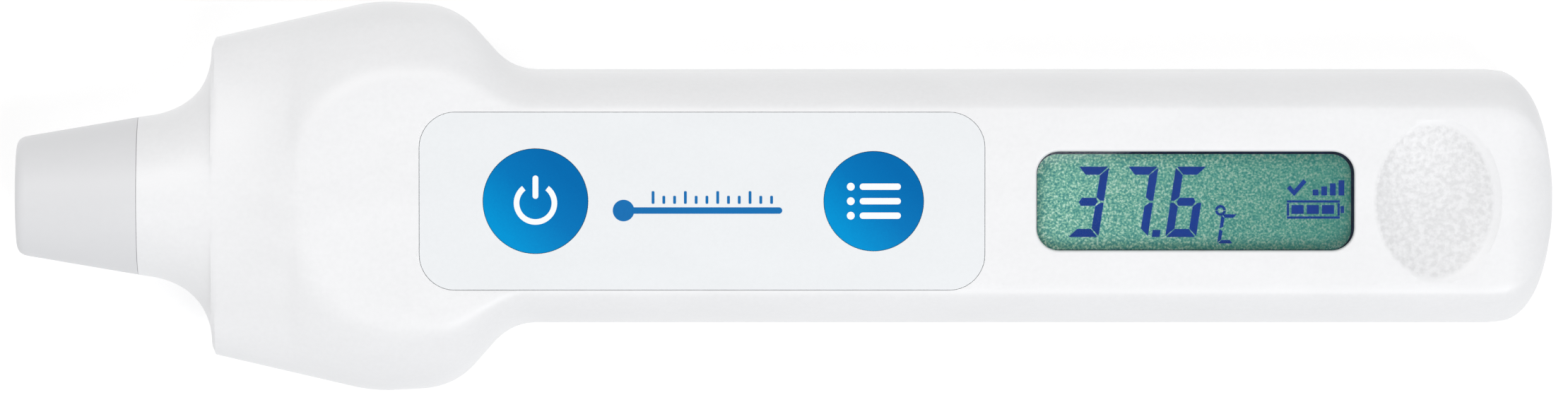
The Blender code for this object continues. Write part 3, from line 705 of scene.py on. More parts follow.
def lcd_glass(name):
    """Grey-green reflective display: its back film shows fine light and dark grains, the brightest of them
    painted glints, and painted shade darkens it towards the tail end.
    """
    made, shader, place = new_material(name, 0.32)
    grains = noise(place, 0.22, 3.0)
    # The film's grain; its brightest stop paints the film's sparkle as glints
    film = colours(grains, [
        (0.36, (0.075, 0.345, 0.315)),
        (0.44, (0.140, 0.480, 0.395)),
        (0.50, (0.205, 0.575, 0.445)),
        (0.56, (0.320, 0.690, 0.515)),
        (0.66, (0.720, 0.950, 0.820)),
    ])
    # Painted shade: the glass darkens towards its tail end, as if shaded by the opening's wall
    left, right = (MM * (DISPLAY_T + side * DISPLAY_SIZE[0] / 2 - MIDDLE_T) for side in (-1, 1))
    across = spread(coordinates(place)[0], 0.0, 0.70, left, right)
    shade_painted_film = mixed(across, film, (0.015, 0.200, 0.165))
    gloss = spread(grains, 0.25, 0.45)
    feed(shader, {"Specular IOR Level": 0.25, "Base Color": shade_painted_film, "Roughness": gloss})
    relief(shader, grains, 0.004)
    return made


def key_blue(name, t, radius):
    """Blue that runs from light at the lower left to dark at the upper right."""
    made, shader, place = new_material(name, 0.42)
    x, y, _ = coordinates(place)
    diagonal = maths("ADD", maths("SUBTRACT", x, MM * (t - MIDDLE_T)), y)
    fade = spread(diagonal, 0.0, 1.0, -MM * 1.3 * radius, MM * 1.1 * radius)
    grain = noise(place, 0.25)
    fade = maths("ADD", fade, spread(grain, -0.03, 0.03))
    blue = colours(fade, [
        (0.0, (0.0005, 0.285, 0.640)),
        (0.55, (0.0004, 0.175, 0.480)),
        (1.0, (0.0003, 0.140, 0.415)),
    ])
    feed(shader, {"Specular IOR Level": 0.03, "Base Color": blue})
    relief(shader, grain, 0.003)
    return made


def circuit_board(name):
    """Green solder mask over copper tracks that stand out a little."""
    made, shader, place = new_material(name, 0.4)
    inputs = {"Vector": place, "Scale": 1.0 / (2.4 * MM)}
    edges = node("TexVoronoi", "Distance", inputs, feature="DISTANCE_TO_EDGE")
    track = spread(edges, 1.0, 0.0, 0.06, 0.09)
    stops = [(0.3, (0.008, 0.120, 0.045)), (0.7, (0.012, 0.160, 0.065))]
    mask = colours(noise(place, 1.2), stops)
    feed(shader, {"Base Color": mixed(track, mask, (0.035, 0.30, 0.12))})
    relief(shader, track, 0.02)
    return made


def striped(name, first, second, pitch, axis, roughness):
    """Layers or printed tracks: two colours in even stripes, pitch millimetres apart."""
    made, shader, place = new_material(name, roughness)
    inputs = {"Vector": place, "Scale": pi / (10.0 * pitch * MM), "Distortion": 0.2}
    stripes = node("TexWave", "Fac", inputs, bands_direction=axis)
    feed(shader, {"Base Color": colours(stripes, [(0.42, first), (0.58, second)])})
    relief(shader, stripes, 0.01)
    return made


WHITE = casing_plastic("body_white", (0.845, 0.850, 0.862))
CAP = plastic("cap_cool_white", (0.735, 0.740, 0.755), 0.45, (0.5, 0.002), 0.01, 0.3)[0]
FILM = plastic("keypad_film", (0.800, 0.822, 0.840), 0.40, (0.22, 0.003), 0.014)[0]
KEY_BLUES = {name: key_blue(f"{name}_key_blue", *place) for name, place in KEYS.items()}
GLYPH_WHITE = plastic("glyph_white_ink", (0.90, 0.92, 0.93), 0.45, (0.2, 0.001), 0.01, 0.3)[0]
PRINT_BLUE = plastic("print_blue_ink", (0.004, 0.150, 0.430), 0.45, (0.2, 0.001), 0.04, 0.1)[0]
SEGMENT_NAVY = plastic("segment_navy", (0.001, 0.045, 0.330), 0.35, (0.3, 0.001), 0.10, 0.10)[0]
# Painted shadow: dark ink for the sheet that shows as the rim's shadow on the display glass
RIM_SHADOW_INK = plastic("rim_shadow_ink", (0.004, 0.016, 0.055), 0.5, (0.3, 0.001), 0.10, 0.1)[0]
CLEAR = clear_plastic("clear_plastic")
LCD = lcd_glass("lcd_glass")
DARK = plastic("dark_plastic", (0.030, 0.030, 0.034), 0.48, (0.4, 0.01), 0.12)[0]
CHIP = plastic("chip_black_epoxy", (0.018, 0.018, 0.020), 0.55, (0.15, 0.006), 0.15)[0]
RUBBER = plastic("silicone_rubber", (0.20, 0.21, 0.23), 0.68, (0.25, 0.006), 0.06)[0]
RED = plastic("red_led", (0.70, 0.045, 0.03), 0.15, (1.0, 0.001), 0.03)[0]
WRAP = plastic("cell_wrap", (0.030, 0.040, 0.055), 0.28, (0.8, 0.003), 0.10)[0]
COPPER = metal("cell_copper_band", (0.72, 0.38, 0.20), 0.30)
SILVER = metal("plated_steel", (0.70, 0.70, 0.72), 0.27)
GOLD = metal("gilt_brass", (0.80, 0.60, 0.28), 0.24)
ALUMINIUM = metal("aluminium", (0.78, 0.79, 0.80), 0.33, (6.0, 1.0, 1.0))
BOARD = circuit_board("green_circuit_board")
ZEBRA = striped("conductive_rubber", (0.62, 0.42, 0.46), (0.05, 0.04, 0.05), 0.25, "X", 0.7)
FLEX = striped("flex_lead", (0.60, 0.30, 0.07), (0.34, 0.14, 0.03), 0.8, "Y", 0.35)


# ---------------- casings


def body_loft(name, outline, start=0.0):
    return loft(name, [[(t, y, z) for y, z in outline(t)] for t in stations(start)])


def hollow(name):
    """The space inside: sections a wall's thickness nearer the ends, then shrunk by the wall."""
    places = [12.0, 13.6, 15.2, 16.4, 17.5, 18.6, 19.5, 20.3, 21.0, 21.7, 22.2, 22.8, 23.1]
    places += [*np.linspace(24.5, 44.0, 14), *np.linspace(45.0, 57.0, 16)]
    places += [156.6, 158.0, 159.0, 160.0, 161.0, 161.6, 162.0, 162.6]
    loops = []
    for t in places:
        source = t - WALL + 2 * WALL * ramp(t, *HOLLOW_TURNS)
        loops.append([(t, y, z) for y, z in shrunk(hollow_section(source), WALL)])
    return loft(name, loops)


def ear_bores(casing):
    """Holes through the ears' front faces for the aiming lenses."""
    return [
        rod(f"{casing}_ear_bore_{side}", "x", (0.0, y, SEAM_Z), EAR_BORE_T, EAR_BORE_RADIUS)
        for side, y in AIMS
    ]


def thumb_dish():
    """A tilted ellipsoid: its tail side bites deeper than its display side."""
    reach = DISH_RISE + DISH_DEPTH
    top = HEIGHT + DISH_RISE
    cos_tilt, sin_tilt = cos(DISH_TILT), sin(DISH_TILT)
    loops = []
    for polar in np.linspace(0.0, pi, 41)[1:-1]:
        loop = []
        for turn in full_turn(96) + pi / 96:
            x = DISH_RADII[0] * sin(polar) * cos(turn)
            y = DISH_RADII[1] * sin(polar) * sin(turn)
            z = -reach * cos(polar)
            loop.append((DISH_T + x * cos_tilt + z * sin_tilt, y, top - x * sin_tilt + z * cos_tilt))
        loops.append(loop)
    return loft("dish_tool", loops)


def film_outline(growth):
    """Size and centre of the keypad film, widened all round."""
    length = KEYPAD_T[1] - KEYPAD_T[0] + 2 * growth
    return (length, 2 * (KEYPAD_HALF_WIDTH + growth)), (sum(KEYPAD_T) / 2, 0.0)


def upper_casing():
    """The front, with the keypad's pocket, the display's opening and the dish."""
    shell = body_loft("upper_shell", lambda t: both_sides(over_the_top(t)))
    posts, holes = [], []
    for name, (t, y, top, boss, hole, _, _, tip) in SCREWS.items():
        posts.append(post(f"post_{name}", t, y, (SEAM_Z + 0.3, top), boss - 0.2))
        holes.append(post(f"post_hole_{name}", t, y, (5.0, tip + 0.6), hole, 28))
    size, middle = film_outline(POCKET_GAP)
    levels = flared_levels(KEYPAD_FLOOR, HEIGHT, 0.05)
    cuts = [plate("pocket_tool", size, KEYPAD_CORNER + POCKET_GAP, middle, levels)]
    for name, (t, radius) in KEYS.items():
        cuts.append(post(f"{name}_well", t, 0.0, (KEY_POCKET_FLOOR, CUT_TOP), radius + 0.2, 72))
        cuts.append(post(f"{name}_bore", t, 0.0, (CUT_LOW, CUT_TOP), KEY_STEM_RADIUS + 0.3))
    middle = (DISPLAY_T, 0.0)
    levels = flared_levels(CUT_LOW, HEIGHT, 0.3)
    cuts.append(plate("opening_tool", DISPLAY_SIZE, DISPLAY_CORNER, middle, levels))
    seat_size = [side + 2 * WINDOW_MARGIN + 0.6 for side in DISPLAY_SIZE]
    cuts.append(plate("seat_tool", seat_size, 3.3, middle, [(CUT_LOW, 0.0), (WINDOW_Z[1] + 0.2, 0.0)]))
    cuts.append(thumb_dish())
    steps = [
        ("DIFFERENCE", [hollow("upper_hollow")]),
        ("UNION", posts),
        ("DIFFERENCE", holes + cuts + ear_bores("upper")),
    ]
    settle(carve(shell, steps, CASING_SMOOTH_BELOW), WHITE, "upper_casing")


def sunk_hole(name, at, radius, depth, flare, segments):
    """A cutter that sinks a round hole into the flat back, its rim eased."""
    profile = [(-5.0, 0.0), (-5.0, radius + flare + 1.0), (-0.01, radius + flare)]
    for angle in np.linspace(0.0, pi / 2, 5):
        profile.append((flare * sin(angle), radius + flare * (1 - sin(angle)) ** 1.5))
    return lathe(name, [*profile, (depth, radius), (depth, 0.0)], "z", (*at, 0.0), 0.0, segments)


def lower_casing():
    """The head's back, with screw bosses and sound holes, and the sides of the battery bay."""
    shell = body_loft("lower_shell", lambda t: both_sides(round_the_back(t)[0]))
    gap = HALF_GAP + PLANE_OFFSET
    bay = block("bay_tool", (DOOR_T - gap, -40.0, -20.0), (200.0, 40.0, DOOR_Z + gap))
    added = [block("tail_bridge", (158.4, -10.5, DOOR_Z + 0.3), (162.6, 10.5, 8.0))]
    cuts = []
    for name, (t, y, _, boss, hole, head, _, _) in SCREWS.items():
        cuts.append(post(f"hole_{name}", t, y, (-5.0, 15.0), hole, 28))
        if t < DOOR_T:
            added.append(post(f"boss_{name}", t, y, (1.1, SEAM_Z - 0.3), boss))
            cuts.append(sunk_hole(f"seat_{name}", (t, y), head + 0.3, 2.4, 0.2, 48))
    sounds = around((BUZZER_T, 0.0), SOUND_RING, full_turn(6)) + [(BUZZER_T, 0.0)]
    for k, at in enumerate(sounds):
        cuts.append(sunk_hole(f"sound_hole_{k}", at, 0.6, 3.5, 0.15, 28))
    steps = [
        ("DIFFERENCE", [hollow("lower_hollow"), bay]),
        ("UNION", added),
        ("DIFFERENCE", cuts + ear_bores("lower")),
    ]
    settle(carve(shell, steps, CASING_SMOOTH_BELOW), WHITE, "lower_casing")


def battery_door():
    """The handle's back, with a latch tongue, grip grooves and an arrow towards the tail."""
    def outline(t):
        half, above = round_the_back(t)
        return both_sides(half[above:])

    shell = body_loft("door_shell", outline, DOOR_T + HALF_GAP)
    root = block("tongue_root", (57.9, -1.6, 1.2), (61.0, 1.6, 2.7))
    tongue = block("tongue", (54.4, -1.6, WALL + 0.3), (60.5, 1.6, 2.6))
    cuts = []
    for k in range(GRIP_GROOVES):
        half = GRIP_HALF_WIDTH - GRIP_TAPER * abs(k - (GRIP_GROOVES - 1) / 2) ** 2
        cuts.append(groove(f"grip_groove_{k}", GRIP_T + (k + 0.25) * GRIP_PITCH, half))
    back, point = ARROW_T
    arrow = [(back, 0.0), (back, -ARROW_HALF_WIDTH), (point, 0.0), (back, ARROW_HALF_WIDTH), (back, 0.0)]
    arrow = rounded_path(arrow, [0.0, 0.5, 0.5, 0.5, 0.0], 5)[1:-1]
    cuts.append(loft("arrow_tool", [[(t, y, z) for t, y in arrow] for z in (-1.0, ARROW_DEPTH)]))
    steps = [("DIFFERENCE", [hollow("door_hollow")]), ("UNION", [root, tongue]), ("DIFFERENCE", cuts)]
    settle(carve(shell, steps, CASING_SMOOTH_BELOW), WHITE, "battery_door", body="battery_door")


def groove(name, t, half):
    """A cutter for a grip groove across the door: a rod with domed ends."""
    radius, depth = 0.62, 0.45
    loops = []
    ends = [sin(a) for a in np.linspace(-pi / 2, pi / 2, 15)]
    for share in ends[1:-1]:
        y = share * radius + copysign(half - radius, share) if share else 0.0
        reach = radius * sqrt(1 - share * share)
        loops.append([(x, y, z) for x, z in around((t, depth - radius), reach, full_turn(24) + 0.1)])
    return loft(name, loops)


upper_casing()
lower_casing()
battery_door()


# ---------------- probe


def probe():
    """The cap, the nozzle and sensor inside it, and the aiming lights."""
    mouth = CAP_SEAM[0]
    corners = [(TIP_T, 0.0), (TIP_T, half_width(TIP_T)), (mouth, half_width(mouth))]
    corners += [(mouth, half_width(mouth) - CAP_WALL), (1.8, half_width(1.8) - CAP_WALL - 0.3)]
    corners += [(1.5, half_width(1.5) - CAP_WALL - 0.8), (1.5, 0.0)]
    profile = rounded_path(corners, [0.0, 1.15, 0.06, 0.14, 0.2, 0.2, 0.0], 8)
    cap = lathe("cap_shell", profile, "x", NOSE_AXIS, 0.0, 128)
    settle(cap, CAP, "probe_cap", body="probe_cap")

    corners = [(2.0, 4.5), (2.3, 4.8), (12.2, 5.9), (12.4, 6.0), (21.8, 6.0), (21.8, 4.4)]
    corners += [(3.4, 3.4), (2.0, 3.4)]
    nozzle = lathe("nozzle_tube", corners, "x", NOSE_AXIS, 0.12, 112)
    settle(nozzle, CAP, "probe_nozzle")
    corners = [(2.3, 0.0), (2.3, 3.1), (3.1, 3.1), (3.1, 0.0)]
    settle(lathe("window_disc", corners, "x", NOSE_AXIS, 0.1, 96), CLEAR, "ir_window")
    ring = around((11.0, 6.45), 0.3, -full_turn(16))
    seal = lathe("seal_ring", ring, "x", NOSE_AXIS, 0.0, 96)
    smooth(seal, RING_SMOOTH_BELOW)
    settle(seal, RUBBER, "nose_seal")

    corners = [(0.0, 0.0), (0.0, 3.7), (0.4, 4.1), (3.8, 4.1), (3.8, 4.6), (4.5, 4.6), (4.5, 0.0)]
    can = lathe("sensor_can", corners, "x", (22.2, 0.0, SEAM_Z), 0.1, 80)
    settle(can, GOLD, "ir_sensor")
    corners = [(22.2, 6.0), (30.6, 6.0), (30.6, 4.9), (22.2, 4.9)]
    sleeve = lathe("sensor_sleeve", corners, "x", NOSE_AXIS, 0.2, 80)
    settle(sleeve, ALUMINIUM, "sensor_holder")

    lens = [(0.0, 0.0), (0.12, 0.7), (0.5, 1.45), (5.4, 1.45), (5.4, 0.0)]
    led = [(0.0, 0.0), (0.2, 0.8), (0.9, 1.45), (2.9, 1.45), (2.9, 1.7), (3.7, 1.7), (3.7, 0.0)]
    for side, y in AIMS:
        piece = lathe(f"lens_{side}", lens, "x", (21.7, y, SEAM_Z), 0.3, 56)
        settle(piece, CLEAR, f"aiming_lens_{side}")
        piece = lathe(f"led_{side}", led, "x", (27.6, y, SEAM_Z), 0.25, 48)
        settle(piece, RED, f"aiming_led_{side}")


probe()


# ---------------- printed and lit marks


def plates(name, outlines, z_range):
    """Thin flat marks, one closed plate for each outline of (t, y) points."""
    points, faces = [], []
    for outline in outlines:
        faces += solid_faces(len(points), len(outline), 2)
        points += [(t, y, z) for z in z_range for t, y in outline]
    return mesh_piece(name, points, faces)


def bar(low, high, radius):
    """A rectangle between two corners, its own corners rounded."""
    size = (high[0] - low[0], high[1] - low[1])
    centre = ((low[0] + high[0]) / 2, (low[1] + high[1]) / 2)
    radius = min(radius, 0.499 * size[0], 0.499 * size[1])
    return [(centre[0] + x, centre[1] + y) for x, y in rounded_rectangle(*size, radius, 5)]


def arc_band(centre, radii, first, last, steps):
    """Part of a ring, between two angles in degrees."""
    turns = np.radians(np.linspace(first, last, steps))
    return around(centre, radii[1], turns) + around(centre, radii[0], turns)[::-1]


SEGMENTS = {"3": "abcdg", "7": "abc", "6": "acdefg", "C": "adef"}


def segment_outlines(character, centre, size, stroke, slant, gap):
    """Seven-segment strokes with mitred ends, leaning to the right."""
    half_w, half_h = size[0] / 2, size[1] / 2
    inner_w, inner_h = half_w - stroke, half_h - stroke
    mid = stroke / 2
    across = [(-half_w + gap, half_h), (half_w - gap, half_h)]
    across += [(inner_w - 0.4 * gap, inner_h), (-inner_w + 0.4 * gap, inner_h)]
    upright = [(half_w, half_h - gap), (half_w, gap), (half_w - 0.45 * stroke, gap)]
    upright += [(inner_w, mid + 0.6 * gap), (inner_w, inner_h - 0.4 * gap)]
    middle = [(-inner_w - 0.25 * stroke, 0.0), (-inner_w + 0.3 * gap, mid), (inner_w - 0.3 * gap, mid)]
    middle += [(inner_w + 0.25 * stroke, 0.0), (inner_w - 0.3 * gap, -mid), (-inner_w + 0.3 * gap, -mid)]
    shapes = {
        "a": across,
        "b": upright,
        "c": [(x, -y) for x, y in upright],
        "d": [(x, -y) for x, y in across],
        "e": [(-x, -y) for x, y in upright],
        "f": [(-x, y) for x, y in upright],
        "g": middle,
    }
    return [
        [(centre[0] + x + slant * y, centre[1] + y) for x, y in shapes[name]]
        for name in SEGMENTS[character]
    ]


def reading():
    """The display's 37.6 with its degree sign and C, as dark segments on the glass."""
    slant, gap = 0.155, 0.11
    marks = []
    for character, offset in (("3", -11.38), ("7", -6.12), ("6", -0.96)):
        marks += segment_outlines(character, (DISPLAY_T + offset, MARKS_Y), (3.3, 7.5), 0.86, slant, gap)
    point = ((-4.62, -3.94), (-3.78, -3.94), (-3.67, -3.18), (-4.51, -3.18))
    marks.append([(DISPLAY_T + x, y) for x, y in point])
    degree, radii = (DISPLAY_T + 2.72, -1.1), (0.3, 0.57)
    marks += [arc_band(degree, radii, start, start + 172.0, 24) for start in (4.0, 184.0)]
    marks += segment_outlines("C", (DISPLAY_T + 3.45, -3.07), (1.7, 3.1), 0.37, slant, 0.09)
    return marks


def status_marks():
    """A tick with four level blocks, above a battery outline with three charge blocks."""
    left, right = DISPLAY_T + 9.8, DISPLAY_T + 16.0
    tick = [(0.0, 0.75), (0.35, 1.05), (0.75, 0.55), (1.75, 1.7), (2.1, 1.4), (0.78, -0.1)]
    marks = [[(left + x, 0.52 + y) for x, y in tick]]
    for k in range(4):
        start = left + 2.75 + 0.92 * k
        marks.append(bar((start, 0.49), (start + 0.62, 1.12 + 0.33 * k), 0.05))
    low, high, line = -1.98, -0.03, 0.24
    end = right - 0.55
    marks += [bar((left, high - line), (end, high), 0.02), bar((left, low), (end, low + line), 0.02)]
    marks += [bar((x, low + line + 0.06), (x + line, high - line - 0.06), 0.02) for x in (left, end - line)]
    marks.append(bar((end + 0.08, low + 0.6), (end + 0.45, high - 0.6), 0.05))
    for start in (left + 0.5, left + 2.12, left + 3.74):
        marks.append(bar((start, low + 0.5), (start + 1.3, high - 0.5), 0.05))
    return marks


def power_icon(t):
    ring = arc_band((t, -0.2), (1.72, 2.32), 128.0, 412.0, 64)
    return [ring, bar((t - 0.31, 0.25), (t + 0.31, 2.75), 0.3)]


def memory_icon(t):
    """Three stored lines, each with its dot."""
    marks = []
    for y in (1.55, 0.0, -1.55):
        marks.append(around((t - 2.45, y), 0.42, full_turn(36)))
        marks.append(bar((t - 1.5, y - 0.34), (t + 2.9, y + 0.34), 0.33))
    return marks


def thermometer_icon(t, y):
    """A lying thermometer with its bulb at the left and a scale above its stem."""
    bulb, stem, length = 1.15, 0.34, 16.6
    start = asin(stem / bulb)
    outline = around((0.0, 0.0), bulb, np.linspace(start, 2 * pi - start, 40))
    outline += around((length, 0.0), stem, np.linspace(-pi / 2, pi / 2, 12))
    marks = [[(t + x, y + z) for x, z in outline]]
    for k in range(12):
        x, tall = t + 3.0 + 1.15 * k, 1.35 if k % 3 == 0 else 0.85
        marks.append(bar((x, y + 0.72), (x + 0.3, y + 0.72 + tall), 0.1))
    return marks


# ---------------- keypad and display


def keypad():
    """The film with its printed mark, and the two keys with their icons."""
    size, middle = film_outline(0.0)
    film_base = KEYPAD_TOP - KEYPAD_THICKNESS
    levels = rounded_levels(film_base, KEYPAD_TOP, 0.05)
    film = plate("keypad_film", size, KEYPAD_CORNER, middle, levels, 16)
    holes = []
    for name, (t, radius) in KEYS.items():
        profile = flared_profile(CUT_LOW, KEYPAD_TOP, 0.04, radius + 0.13)
        holes.append(lathe(f"{name}_film_hole", profile, "z", (t, 0.0, 0.0), 0.0, 128))
    settle(carve(film, [("DIFFERENCE", holes)]), FILM, "keypad_overlay")
    print_z = (KEYPAD_TOP - 0.02, KEYPAD_TOP + 0.02)
    settle(plates("thermometer_print", thermometer_icon(65.7, -1.0), print_z), PRINT_BLUE, slot="key_blue")

    icons = {"on": power_icon, "mem": memory_icon}
    for name, (t, radius) in KEYS.items():
        body, reach = f"{name}_key", radius + 0.09
        corners = [(KEY_STEM_LOW, 0.0), (KEY_STEM_LOW, KEY_STEM_RADIUS), (film_base, KEY_STEM_RADIUS)]
        corners += [(film_base, reach), (KEYPAD_TOP, reach), (KEYPAD_TOP, 0.0)]
        key = lathe(f"{name}_button", corners, "z", (t, 0.0, 0.0), 0.06, 128)
        settle(key, KEY_BLUES[name], body, body=body, slot="key_blue")
        glyph = plates(f"{name}_glyph", icons[name](t), print_z)
        settle(glyph, GLYPH_WHITE, body=body, slot="keypad_film")


def display():
    """The window, the glass under it with a dark border that paints the rim's shadow along its top and
    right edges, and the glass's marks.
    """
    centre = (DISPLAY_T, 0.0)
    size = [side + 2 * WINDOW_MARGIN for side in DISPLAY_SIZE]
    window = plate("display_window", size, 3.0, centre, rounded_levels(*WINDOW_Z, 0.1))
    settle(window, CLEAR, "lcd_window")
    glass = plate("display_glass", LCD_SIZE, 0.4, centre, rounded_levels(*LCD_Z, 0.08), 4)
    settle(glass, LCD, "lcd_glass")
    # Painted shadow: a dark sheet whose opening is shifted so that it shows along the top and right edges
    # as the rim's shadow
    mask = plate("display_rim_shadow", [side + 1.6 for side in DISPLAY_SIZE], 2.8, centre, RIM_SHADOW_LEVELS)
    inner = [side - 0.42 for side in DISPLAY_SIZE]
    levels = [(CUT_LOW, 0.0), (CUT_TOP, 0.0)]
    opening = plate("rim_shadow_opening", inner, DISPLAY_CORNER - 0.3, (DISPLAY_T - 0.1, MARKS_Y), levels)
    settle(carve(mask, [("DIFFERENCE", [opening])]), RIM_SHADOW_INK, slot="lcd_glass")
    ink_z = (LCD_Z[1] - 0.02, LCD_Z[1] + 0.03)
    settle(plates("display_reading", reading(), ink_z), SEGMENT_NAVY, slot="lcd_glass")
    settle(plates("display_status", status_marks(), ink_z), SEGMENT_NAVY, slot="lcd_glass")


keypad()
display()


# ---------------- battery bay and inside


def cell(name, start, y, pole):
    """An AAA cell: crimped metal ends, a printed wrap and a copper band towards its nub."""
    body = CELL_LENGTH - 1.0
    band = body - 11.65
    corners = [(0.0, 0.0), (0.0, 3.6), (0.25, 3.9), (0.25, 4.5), (0.0, 4.7), (0.0, 5.05)]
    corners += [(0.25, CELL_RADIUS), (body - 0.35, CELL_RADIUS), (body, 4.9), (body, 4.4)]
    corners += [(body - 0.3, 4.2), (body - 0.3, 2.3), (body, 1.9), (CELL_LENGTH, 1.9), (CELL_LENGTH, 0.0)]
    rings = rounded_path(corners, [0.15] * len(corners), 4)
    at = next(i for i, point in enumerate(rings) if point[0] > 20.0)
    rings[at:at] = [(band - 0.05, CELL_RADIUS), (band + 0.05, CELL_RADIUS)]
    if pole < 0:
        rings = [(CELL_LENGTH - along, radius) for along, radius in reversed(rings)]
    piece = lathe(f"{name}_body", rings, "x", (start, y, CELL_Z), 0.0, 72)
    settle(piece, WRAP, name)
    coat(piece, WRAP, COPPER, SILVER)
    for face in piece.data.polygons:
        x, across, up = (value / MM for value in face.center)
        along = x + MIDDLE_T - start
        along = along if pole > 0 else CELL_LENGTH - along
        is_end = along < 0.2 or along > body - 0.32 or hypot(across - y, up - CELL_Z) < 4.95
        face.material_index = 2 if is_end else int(along > band)


def coil(name, start, length, y, radii, replaced):
    """A coned contact spring: a round wire wound along the cells' axis."""
    turns, steps, wire = 3, 40, 0.3
    loops = []
    for k in range(turns * steps + 1):
        share = k / (turns * steps)
        angle = 2 * pi * k / steps
        radius = radii[0] + (radii[1] - radii[0]) * share
        section = around((radius, start + length * share), wire, full_turn(12))
        loops.append([(t, y + r * cos(angle), CELL_Z + r * sin(angle)) for r, t in section])
    spring = loft(name, loops)
    smooth(spring, SPRING_SMOOTH_BELOW)
    settle(spring, SILVER, replaced)


def battery_bay():
    """Four cells in two rows, with their contacts."""
    for k in range(2):
        cell(f"battery_cell_{k + 1}", 62.8 + k * CELL_PITCH, CELL_Y, -1)
    for k in range(2):
        cell(f"battery_cell_{k + 3}", 63.9 + k * CELL_PITCH, -CELL_Y, 1)
    corners = [(0.0, 0.0), (0.0, 3.8), (0.4, 3.8), (0.4, 2.2), (1.9, 1.2), (1.9, 0.0)]
    contact = lathe("contact_button", corners, "x", (60.3, CELL_Y, CELL_Z), 0.12, 64)
    settle(contact, SILVER, "positive_contact")
    coil("front_spring", 60.7, 2.6, -CELL_Y, (3.9, 2.2), "negative_spring")
    coil("rear_spring", 152.7, 2.0, CELL_Y, (2.2, 3.9), "link_spring")
    link = block("link_plate", (155.3, -9.2, 3.8), (155.7, 9.2, 10.7))
    corners = [(0.0, 0.0), (0.0, 1.2), (1.9, 2.2), (1.9, 0.0)]
    bump = lathe("link_bump", corners, "x", (153.5, -CELL_Y, CELL_Z), 0.15, 64)
    settle(carve(link, [("UNION", [bump])]), SILVER, "link_contact")


def inside():
    """The sounder and the two capacitors."""
    corners = [(0.0, 0.0), (0.0, 7.2), (4.0, 7.2), (4.6, 6.6), (4.6, 1.2), (4.0, 1.0), (4.0, 0.0)]
    sounder = lathe("sounder_can", corners, "z", (BUZZER_T, 0.0, WALL + 0.4), 0.2, 80)
    settle(sounder, DARK, "buzzer")
    corners = [(0.0, 0.0), (0.0, 2.0), (3.5, 2.0), (3.5, 0.0)]
    for side, t in (("front", 81.5), ("rear", 86.3)):
        can = lathe(f"can_{side}", corners, "z", (t, -4.5, BOARD_TOP + 0.25), 0.3, 48)
        settle(can, ALUMINIUM, f"capacitor_{side}")


def casing_screws():
    """Pan heads with a cross recess, facing down; each shank has a fine thread."""
    pitch, root, slot = 0.6, 0.12, 0.21
    for name, (t, y, _, _, hole, head, base, tip) in SCREWS.items():
        shank = hole - 0.3
        corners = [(base, 0.0), (base, head - 0.35), (base + 0.35, head)]
        corners += [(base + 1.5, head), (base + 1.5, shank)]
        for k in range(int((tip - 1.2 - base - 1.9) / pitch)):
            z = base + 1.9 + k * pitch
            corners += [(z, shank - root), (z + 0.24, shank), (z + 0.36, shank), (z + 0.58, shank - root)]
        corners += [(tip - 0.8, shank - root), (tip, 0.0)]
        screw = lathe(f"{name}_body", corners, "z", (t, y, 0.0), 0.04, 40)
        recess = []
        for arm, (dx, dy) in (("arm_x", (0.62 * head, slot)), ("arm_y", (slot, 0.62 * head))):
            recess.append(block(arm, (t - dx, y - dy, base - 1.0), (t + dx, y + dy, base + 0.8)))
        settle(carve(screw, [("DIFFERENCE", recess)]), SILVER, name)


battery_bay()
inside()
casing_screws()

CARRIED = {
    DARK: ("lcd_frame", "battery_carrier"),
    CHIP: ("processor_chip", "memory_chip"),
    BOARD: ("main_board", "sensor_board"),
    SILVER: ("crystal", "on_key_dome", "mem_key_dome"),
    ZEBRA: ("lcd_contact_strip_left", "lcd_contact_strip_right"),
    FLEX: ("sensor_lead",),
}
for finish, names in CARRIED.items():
    for name in names:
        coat(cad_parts[name], finish)


# ---------------- stage, light and camera

FLOOR_Z = -0.1
FLOOR_GLOW = 0.6
CAMERA_DISTANCE = 1.7
CAMERA_TILT = radians(3.0)
FRAME_WIDTH = 168.27
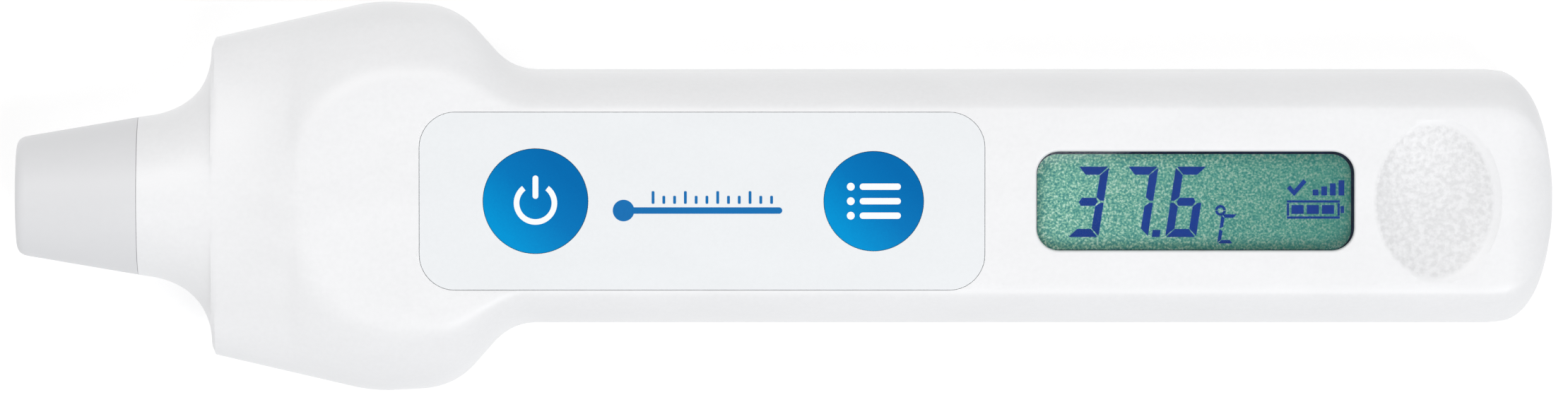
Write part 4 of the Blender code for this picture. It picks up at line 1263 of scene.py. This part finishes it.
# The middle of the picture, in millimetres from the frame's origin
VIEW_CENTRE = (0.1, -0.1, 12.5)


def aimed(obj, at, target):
    obj.location = at
    obj.rotation_euler = (Vector(target) - Vector(at)).to_track_quat("-Z", "Y").to_euler()


def area_light(name, at, size, power, colour):
    light = bpy.data.lights.new(name, "AREA")
    light.shape = "RECTANGLE"
    light.size, light.size_y = size
    light.energy = power
    light.color = colour
    lamp = bpy.data.objects.new(name, light)
    bpy.context.scene.collection.objects.link(lamp)
    aimed(lamp, at, (0.0, 0.0, 0.01))


def stage():
    """A wide pale floor just under the back."""
    reach = 1500.0
    points = [(MIDDLE_T + x * reach, y * reach, FLOOR_Z) for x, y in ((-1, -1), (1, -1), (1, 1), (-1, 1))]
    floor = mesh_piece("floor", points, [(0, 1, 2, 3)])
    paper, shader, _ = plastic("floor_paper", (0.48, 0.48, 0.48), 0.9, (1.2, 0.01), 0.01, 0.0)
    feed(shader, {"Emission Color": (1.0, 1.0, 1.0), "Emission Strength": FLOOR_GLOW})
    coat(floor, paper)


stage()
world = bpy.data.worlds.new("studio")
bpy.context.scene.world = world
world.use_nodes = True
background = world.node_tree.nodes["Background"]
feed(background, {"Color": (0.98, 0.99, 1.0), "Strength": 0.50})
area_light("key_light", (0.30, -0.42, 1.0), (0.5, 0.5), 4.95, (0.99, 0.99, 1.0))
area_light("fill_light", (-0.28, 0.42, 0.9), (0.5, 0.5), 3.05, (1.0, 0.97, 0.94))

view = bpy.context.scene.view_settings
view.view_transform = "Standard"
view.look = "None"

camera = bpy.data.cameras.new("camera")
camera.sensor_width = 36.0
camera.lens = 36.0 * CAMERA_DISTANCE / (FRAME_WIDTH * MM)
camera.clip_start = 0.05
eye = bpy.data.objects.new("camera", camera)
bpy.context.scene.collection.objects.link(eye)
x, y, z = (MM * value for value in VIEW_CENTRE)
eye.location = (x, y + CAMERA_DISTANCE * sin(CAMERA_TILT), z + CAMERA_DISTANCE * cos(CAMERA_TILT))
eye.rotation_euler = (-CAMERA_TILT, 0.0, 0.0)
bpy.context.scene.camera = eye
